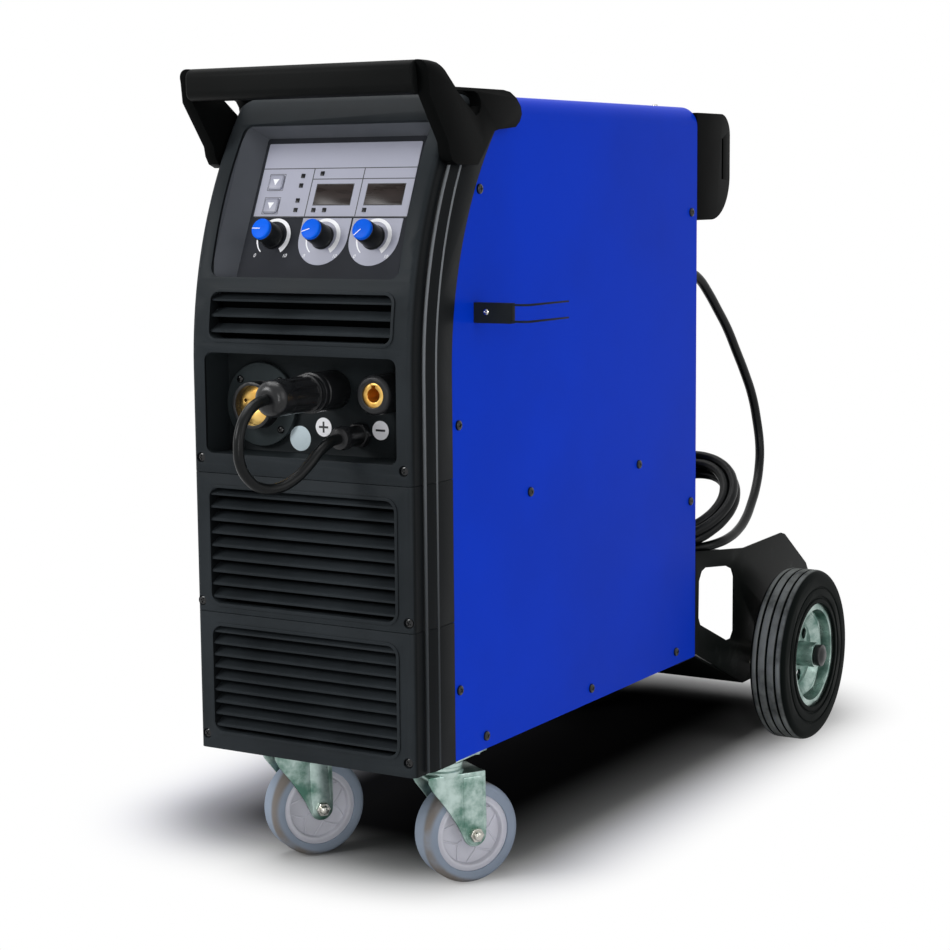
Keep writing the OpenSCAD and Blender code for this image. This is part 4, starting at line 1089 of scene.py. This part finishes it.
def axle_axes(side, out):
    """Axes at a caster's axle whose Z points out of one side of the wheel."""
    turn = Matrix.Rotation(math.radians(90 * out), 4, "X")
    return caster_axes(side) @ Matrix.Translation((CASTER_TRAIL * MM, 0, CASTER_AXLE_Z * MM)) @ turn


def rib(points):
    """A rounded moulded rib, 2 mm thick, along points of its own axes in mm."""
    return to_mesh(cord_curve("rib", [[c * MM for c in point] for point in points], 2 * MM, 2, 4))


def polar(radius, angle, height):
    """A point from its distance from the axis, its angle in degrees and its height."""
    return (radius * math.cos(math.radians(angle)), radius * math.sin(math.radians(angle)), height)


# Radius, angle from its middle and height along one side of a pointed arch
ARCH = ((31, 27, 9.7), (26.5, 21, 9.9), (21.5, 11, 10), (17.5, 0, 10.1))


def hub_face():
    """Half of a caster hub: dished web with five pointed arches and a rounded rim."""
    web = lathe(
        [(5.2, 0), (5.2, 16.6), (5.8, 17.2), (9.6, 17.2), (10.4, 16.4), (10.8, 11), (11.4, 10.2), (29.6, 9.4),
         (30.6, 10), (31.2, 13.6), (32, 14.8), (33.4, 15.2), (34.8, 14.9), (36, 14.2), (38, 14), (38, 0)],
        72, "hub_face",
    )
    ribs = []
    for turn in range(0, 360, 72):
        arches = [[polar(r, turn + way * angle, h) for r, angle, h in ARCH] for way in (-1, 1)]
        spoke = [polar(17.5, turn, 10.1), polar(10.4, turn, 10.4)]
        ribs += [rib(points) for points in (*arches, spoke)]
    return join([web, *ribs], "hub_face")


def make_caster_hubs():
    """Both caster hubs, each from two halves."""
    for name, side in (("left", -1), ("right", 1)):
        node = "caster_hub_" + name
        halves = [put(hub_face(), axle_axes(side, out)) for out in (1, -1)]
        hub = join(halves, node + "_moulded")
        smooth(hub, 40)
        finish_piece(hub, "caster_hub", body_of(node))
        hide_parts(node)


def fork_cheek():
    """Pressed cheek with a swept leading edge and a raised pad down to the axle."""
    lead = [(-23, 112), (-23, 106), (-19, 98), (-12, 89), (-4.5, 79), (2.5, 68.5), (8.5, 58.5)]
    bottom = arc((26, 50), 12.2, 205, 362, 18)
    sheet = plate(lead + bottom + [(38.6, 62), (37.6, 112)], 3.0)
    bevel(sheet, 0.9, 3, 50)
    swell = [(13, 108), (13.4, 90), (14, 62)] + arc((26, 50), 10.6, 165, 375, 20) + [(34.4, 90), (33.6, 108)]
    pad = plate(swell, 2.2, 1.6)
    bevel(pad, 1.3, 3, 50)
    return join([sheet, pad], "cheek")


def caster_fork(name, side):
    """Two pressed cheeks under a bridge and a turned crown."""
    node = "caster_fork_" + name
    pieces = []
    for out in (1, -1):
        cheek = fork_cheek()
        lay = Matrix(((1, 0, 0), (0, 0, -out), (0, 1, 0))).to_4x4()
        pieces.append(put(cheek, caster_axes(side) @ Matrix.Translation((0, -out * FORK_GAP * MM, 0)) @ lay))
    crown = lathe(
        [(0, 107.6), (19, 107.6), (21.5, 109), (22, 112), (22, 114.5), (20.6, 116), (20.6, 118.6),
         (21.4, 119.4), (21.4, 122.6), (20, 123.5), (0, 123.5)],
        48, "crown",
    )
    bridge = block((60, 2 * FORK_GAP + 4, 4), (7, 0, 108))
    bevel(bridge, 1.2, 3, 50)
    pieces += [put(crown, caster_axes(side)), put(bridge, caster_axes(side))]
    fork = smooth(join(pieces, node + "_pressed"), 40)
    finish_piece(fork, "zinc", body_of(node))
    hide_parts(node)


def axle_bolt(name, side):
    """The bolt through a caster's axle, with a domed nut at each end."""
    ends = []
    for out in (1, -1):
        nut = lathe([(0, 0), (7.4, 0), (7.4, 4.4), (6.6, 5.2), (0, 5.2)], 6, "nut")
        dome = lathe([(0, 5), (4.6, 5), (4.6, 7.4), (3.9, 8.4), (2.4, 9.1), (0, 9.3)], 24, "dome")
        end = join([nut, dome], "end")
        bevel(end, 0.4, 2, 50)
        ends.append(put(end, axle_axes(side, out) @ Matrix.Translation((0, 0, (FORK_GAP + 3.6) * MM))))
    bpy.ops.mesh.primitive_cylinder_add(vertices=24, radius=4.9 * MM, depth=(2 * FORK_GAP + 6) * MM)
    shaft = put(bpy.context.object, axle_axes(side, 1))
    bolt = smooth(join([*ends, shaft], "axle_bolt_" + name), 40)
    finish_piece(bolt, "bright", body_of("caster_fork_" + name))


def make_caster_forks():
    """Both caster forks with their axle bolts."""
    for name, side in (("left", -1), ("right", 1)):
        caster_fork(name, side)
        axle_bolt(name, side)


# --- case, handle and cart --------------------------------------------------

EDGED = [
    ("front_panel_upper", 0.7, "moulding"), ("front_panel_middle", 0.7, "moulding"),
    ("front_panel_lower", 0.7, "moulding"), ("handle_brackets", 1.6, "bracket"), ("handle_bar", 2.4, "grip"),
    ("cylinder_rest", 0.8, "bracket"), ("cable_hook", 0.4, "moulding"), ("cylinder_deck", 0.5, "powder"),
    ("axle_caps", 0.6, "socket"), ("tyre_left", 0.7, "tyre"), ("tyre_right", 0.7, "tyre"),
    ("rim_left", 0.4, "rim"), ("rim_right", 0.4, "rim"), ("rear_axle", 0.5, "bright"),
    ("caster_plates", 0.5, "zinc"),
    ("caster_tyre_left", 0.4, "caster_left"), ("caster_tyre_right", 0.4, "caster_right"),
    ("door_latch", 0.6, "socket"), ("switch_knob", 0.7, "socket"), ("gas_inlet", 0.3, "brass"),
    ("fan_frame", 0.4, "socket"), ("tension_lever", 0.5, "red"), ("spool_hub", 0.6, "socket"),
    ("feed_base", 0.5, "alloy"), ("pressure_arm", 0.6, "socket"), ("feed_motor", 0.6, "dark_steel"),
]
COATED = {
    "control_panel": "surround", "panel_overlay": "label", "cover_panel": "enamel", "left_panel": "enamel",
    "rear_panel": "enamel", "access_door": "enamel", "chassis": "galvanised", "drive_roll": "bright",
    "pressure_roll": "bright", "fan_rotor": "moulding", "inverter_module": "alloy",
}
# Depths behind the swept-back front of the two raised lines with a painted highlight, the steps along each
# and the height of their top, in mm
BEAD_OFFSETS = (18, 38)
BEAD_STEPS = 18
BEAD_TOP = 694


def make_highlight_beads(width):
    """The two raised lines that run up each side of the front mouldings, behind the rounded corner, coloured
    light as a painted highlight.
    """
    low, high = corners("front_panel_lower")
    half_width, foot = high.x / MM, low.z / MM + 2
    heights = [foot + (BEAD_TOP - foot) * k / BEAD_STEPS for k in range(BEAD_STEPS + 1)]
    beads = []
    for side in (-1, 1):
        for offset in BEAD_OFFSETS:
            points = [place(side * (half_width - 0.6), nose_depth(z) + offset, z) for z in heights]
            beads.append(to_mesh(cord_curve("bead", points, width)))
    finish_piece(join(beads, "moulding_beads"), "bead", "frame")


def make_case(edge_scale):
    """Breaks the edges of some CAD nodes and coats the others as they are."""
    for node, width, finish in EDGED:
        break_edges(node, width * edge_scale, finish)
    for node, finish in COATED.items():
        coat(frame["nodes"][node], finish)


# --- stage ------------------------------------------------------------------


# Rays that should meet a white background; the others light the machine
WHITE_RAYS = ("Is Camera Ray", "Is Glossy Ray", "Is Transmission Ray")
SENSOR_WIDTH, CLIP_END = 36, 60
FLOOR_SIZE = 14
# Middle and half size of the painted shadow under the machine, and where the floor starts and ends to turn
# white
PAINTED_SHADOW_MIDDLE, PAINTED_SHADOW_HALF = (-0.08, 0.09, 0.0), (0.09, 0.33, 0.0)
AWAY_FROM, AWAY_TO = 0.1, 0.26
# Place from the machine's middle and size of each light
LIGHTS = {
    "top": ((-0.5, -0.2, 2.3), (1.8, 2.0)),
    "front": ((-1.5, -2.4, 1.3), (1.0, 1.0)),
    "side": ((2.6, -0.7, 0.9), (1.4, 1.8)),
    "strip": ((1.7, -2.6, 0.3), (0.1, 1.6)),
}


def seen_as_white(g, strength):
    """A strength for the rays that should meet a white background, and 0 for the others."""
    rays = [g.node("ShaderNodeLightPath", output=name) for name in WHITE_RAYS]
    return g.node("ShaderNodeMath", {"operation": "MINIMUM"}, (rays[0] + rays[1] + rays[2], 1.0)) * strength


def make_floor(settings):
    """A white floor with the machine's shadow, and a painted shadow: its colour turns near black close under
    it.
    """
    low, high = [Vector(c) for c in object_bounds()]
    middle = (low + high) / 2
    bpy.ops.mesh.primitive_plane_add(size=FLOOR_SIZE, location=(middle.x, middle.y, 0))
    floor = named("floor")
    apply_place(floor)
    g = Graph("pale floor")
    where = g.position()
    from_middle = g.vector_maths("SUBTRACT", where, PAINTED_SHADOW_MIDDLE)
    beyond = g.vector_maths("SUBTRACT", g.vector_maths("ABSOLUTE", from_middle), PAINTED_SHADOW_HALF)
    beyond = g.vector_maths("MAXIMUM", beyond, (0.0, 0.0, 0.0))
    reach = g.vector_maths("LENGTH", beyond, output="Value")
    # Painted shadow: the floor's colour is near black under the machine and fades to white beyond the patch.
    plain = g.node(
        "ShaderNodeBsdfPrincipled", None,
        {"Base Color": g.mix(reach.smooth(0.0, settings.painted_shadow_reach), rgb("101011"), rgb("F6F6F6")),
         "Roughness": 0.9, "Specular IOR Level": 0.0},
    )
    white = g.node("ShaderNodeEmission", None, {"Color": (1, 1, 1, 1), "Strength": 1.0})
    away = seen_as_white(g, reach.smooth(AWAY_FROM, AWAY_TO))
    mixed = g.node("ShaderNodeMixShader", None, {0: away, 1: plain, 2: white})
    g.tree.links.new(mixed.socket, g.output.inputs["Surface"])
    floor.data.materials.append(g.material)
    floor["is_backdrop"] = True


def make_world(settings):
    """White to the camera and in reflections, and a plain light from all round for the rest."""
    world = bpy.data.worlds.new("studio")
    world.use_nodes = True
    bpy.context.scene.world = world
    tree = world.node_tree
    tree.nodes.clear()
    output = tree.nodes.new("ShaderNodeOutputWorld")
    rays = tree.nodes.new("ShaderNodeLightPath")
    seen = rays.outputs[WHITE_RAYS[0]]
    for name in WHITE_RAYS[1:]:
        either = tree.nodes.new("ShaderNodeMath")
        either.operation = "MAXIMUM"
        tree.links.new(seen, either.inputs[0])
        tree.links.new(rays.outputs[name], either.inputs[1])
        seen = either.outputs[0]
    light, white, mix = [tree.nodes.new(kind) for kind in (
        "ShaderNodeBackground", "ShaderNodeBackground", "ShaderNodeMixShader")]
    light.inputs["Color"].default_value = (1, 1, 1, 1)
    light.inputs["Strength"].default_value = settings.ambient
    white.inputs["Color"].default_value = (1, 1, 1, 1)
    tree.links.new(seen, mix.inputs[0])
    tree.links.new(light.outputs[0], mix.inputs[1])
    tree.links.new(white.outputs[0], mix.inputs[2])
    tree.links.new(mix.outputs[0], output.inputs["Surface"])


def soft_light(name, location, target, size, power):
    """One rectangular light that looks at a target."""
    bpy.ops.object.light_add(type="AREA", location=location)
    lamp = bpy.context.object
    lamp.name = name
    lamp.data.shape = "RECTANGLE"
    lamp.data.size, lamp.data.size_y = size
    lamp.data.energy = power
    lamp.rotation_euler = (Vector(target) - Vector(location)).to_track_quat("-Z", "Y").to_euler()


def make_lights(settings):
    """All lights, with the powers of the settings."""
    low, high = [Vector(c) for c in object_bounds()]
    middle = (low + high) / 2
    for name, (offset, size) in LIGHTS.items():
        power = getattr(settings, name + "_power")
        soft_light(name + " light", middle + Vector(offset), middle, size, power)


def make_camera(settings):
    """The camera, turned by its azimuth, pitch and roll."""
    bpy.ops.object.camera_add()
    camera = bpy.context.object
    camera.name = "camera"
    camera.data.sensor_width = SENSOR_WIDTH
    camera.data.lens = settings.lens
    camera.data.clip_end = CLIP_END
    azimuth, pitch, roll = settings.azimuth, settings.pitch, settings.roll
    flat = math.cos(pitch)
    ahead = Vector((-math.sin(azimuth) * flat, math.cos(azimuth) * flat, -math.sin(pitch)))
    level = Vector((math.cos(azimuth), math.sin(azimuth), 0))
    upward = level.cross(ahead)
    across = level * math.cos(roll) + upward * math.sin(roll)
    above = upward * math.cos(roll) - level * math.sin(roll)
    turned = Matrix((across, above, -ahead)).transposed().to_4x4()
    camera.matrix_world = Matrix.Translation(settings.location) @ turned
    bpy.context.scene.camera = camera


# --- add-on -----------------------------------------------------------------


def colour_setting(label, description, default):
    """A colour that a user can change."""
    return FloatVectorProperty(
        name=label, description=description, default=rgb(default)[:3], size=3, min=0, max=1, subtype="COLOR")


class MachineSettings(bpy.types.PropertyGroup):
    """The main colours and the widths of rounded edges and raised lines."""

    enamel: colour_setting("Enamel", "Colour of the sheet steel", "0439CC")
    moulding: colour_setting("Mouldings", "Colour of the front mouldings", "25292C")
    knob_insert: colour_setting("Knob inserts", "Colour of the knobs' inserts", "0A5CDC")
    label: colour_setting("Label", "Colour of the panel's film", "9294A4")
    edge_scale: FloatProperty(
        name="Edge scale", description="Widens or narrows the rounded edges of case and cart", default=1,
        subtype="FACTOR")
    # Width of the raised lines that carry the painted highlight on the front mouldings.
    bead_width: FloatProperty(
        name="Raised lines", description="Width of the raised lines on the front mouldings", default=0.003,
        unit="LENGTH")


class StageSettings(bpy.types.PropertyGroup):
    """The studio round the machine."""

    ambient: FloatProperty(
        name="Ambient", description="Strength of the plain light from all round", default=0.16,
        subtype="FACTOR")
    # How far the painted shadow under the machine fades out.
    painted_shadow_reach: FloatProperty(
        name="Painted floor shadow", description="How far the darker floor under the machine fades out", default=0.26,
        unit="LENGTH")
    top_power: FloatProperty(
        name="Top light", description="Power of the overhead light", default=46, unit="POWER")
    front_power: FloatProperty(
        name="Front light", description="Power of the light on the front", default=44, unit="POWER")
    strip_power: FloatProperty(
        name="Strip light", description="Power of the upright strip", default=20, unit="POWER")
    side_power: FloatProperty(
        name="Side light", description="Power of the light on the right side", default=15, unit="POWER")


class CameraSettings(bpy.types.PropertyGroup):
    """Where the camera stands and how it looks at the machine."""

    location: FloatVectorProperty(
        name="Location", description="Where the camera stands", default=(1.1670, -2.1005, 0.6713),
        subtype="TRANSLATION")
    lens: FloatProperty(name="Lens", description="Focal length", default=82.24, unit="CAMERA")
    azimuth: FloatProperty(
        name="Azimuth", description="Turn round the machine", default=math.radians(30.9), subtype="ANGLE")
    pitch: FloatProperty(
        name="Pitch", description="How far it looks down", default=math.radians(7.6), subtype="ANGLE")
    roll: FloatProperty(
        name="Roll", description="Tilt of the picture", default=math.radians(-0.5), subtype="ANGLE")


class WELDER_OT_camera(bpy.types.Operator):
    """Sets the camera up"""

    bl_idname = "welder.camera"
    bl_label = "Camera"

    def execute(self, context):
        make_camera(context.scene.welder_camera)
        return {"FINISHED"}


class WELDER_OT_finishes(bpy.types.Operator):
    """Makes the finishes that the pieces take"""

    bl_idname = "welder.finishes"
    bl_label = "Finishes"

    def execute(self, context):
        FINISH.update(make_finishes(context.scene.welder_machine))
        return {"FINISHED"}


class WELDER_OT_cords(bpy.types.Operator):
    """Lays the mains cord with its coil and plug, and the polarity lead"""

    bl_idname = "welder.cords"
    bl_label = "Cords"

    def execute(self, context):
        make_mains_cord()
        make_polarity_lead()
        make_glands()
        return {"FINISHED"}


class WELDER_OT_panel(bpy.types.Operator):
    """Dresses the control panel with its film, dials, windows, buttons and knobs"""

    bl_idname = "welder.panel"
    bl_label = "Control panel"

    def execute(self, context):
        make_panel_label()
        make_windows()
        make_buttons()
        make_knobs()
        return {"FINISHED"}


class WELDER_OT_sockets(bpy.types.Operator):
    """Finishes the sockets and marks their recess"""

    bl_idname = "welder.sockets"
    bl_label = "Sockets"

    def execute(self, context):
        make_recess_marks()
        make_sockets()
        make_grille_shade_screens()
        return {"FINISHED"}


class WELDER_OT_casters(bpy.types.Operator):
    """Builds the caster forks and hubs"""

    bl_idname = "welder.casters"
    bl_label = "Casters"

    def execute(self, context):
        make_caster_hubs()
        make_caster_forks()
        return {"FINISHED"}


class WELDER_OT_case(bpy.types.Operator):
    """Rounds the edges of the case, handle, cart and wheels, coats them and adds the raised lines with a
    painted highlight
    """

    bl_idname = "welder.case"
    bl_label = "Case and cart"

    def execute(self, context):
        settings = context.scene.welder_machine
        make_case(settings.edge_scale)
        make_highlight_beads(settings.bead_width)
        return {"FINISHED"}


class WELDER_OT_screws(bpy.types.Operator):
    """Puts the screws in"""

    bl_idname = "welder.screws"
    bl_label = "Screws"

    def execute(self, context):
        make_screws()
        return {"FINISHED"}


class WELDER_OT_stage(bpy.types.Operator):
    """Builds the studio round the machine"""

    bl_idname = "welder.stage"
    bl_label = "Stage"

    def execute(self, context):
        settings = context.scene.welder_stage
        make_floor(settings)
        make_world(settings)
        make_lights(settings)
        context.scene.view_settings.view_transform = "Standard"
        return {"FINISHED"}


STEPS = [
    WELDER_OT_camera, WELDER_OT_finishes, WELDER_OT_cords, WELDER_OT_panel, WELDER_OT_sockets,
    WELDER_OT_casters, WELDER_OT_case, WELDER_OT_screws, WELDER_OT_stage,
]


class WELDER_PT_pieces(bpy.types.Panel):
    """One button for each group of pieces"""

    bl_idname = "WELDER_PT_pieces"
    bl_label = "Welding machine"
    bl_space_type = "VIEW_3D"
    bl_region_type = "UI"
    bl_category = "Welder"

    def draw(self, context):
        for step in STEPS:
            self.layout.operator(step.bl_idname)
        scene = context.scene
        for settings in (scene.welder_machine, scene.welder_stage, scene.welder_camera):
            box = self.layout.box()
            for key in settings.__annotations__:
                box.prop(settings, key)


CLASSES = [MachineSettings, StageSettings, CameraSettings, *STEPS, WELDER_PT_pieces]


def register():
    """Registers the settings, the operators and the panel."""
    for cls in CLASSES:
        bpy.utils.register_class(cls)
    bpy.types.Scene.welder_machine = bpy.props.PointerProperty(type=MachineSettings)
    bpy.types.Scene.welder_stage = bpy.props.PointerProperty(type=StageSettings)
    bpy.types.Scene.welder_camera = bpy.props.PointerProperty(type=CameraSettings)


def unregister():
    """Takes back what register did."""
    del bpy.types.Scene.welder_camera
    del bpy.types.Scene.welder_stage
    del bpy.types.Scene.welder_machine
    for cls in reversed(CLASSES):
        bpy.utils.unregister_class(cls)


def clear_startup():
    """Removes what Blender's start-up scene holds."""
    for name in ("Cube", "Light", "Camera"):
        if name in bpy.data.objects:
            bpy.data.objects.remove(bpy.data.objects[name])


def main():
    """Builds the machine and its stage step by step."""
    register()
    clear_startup()
    for step in STEPS:
        group, name = step.bl_idname.split(".")
        getattr(getattr(bpy.ops, group), name)()


if __name__ == "__main__":
    main()
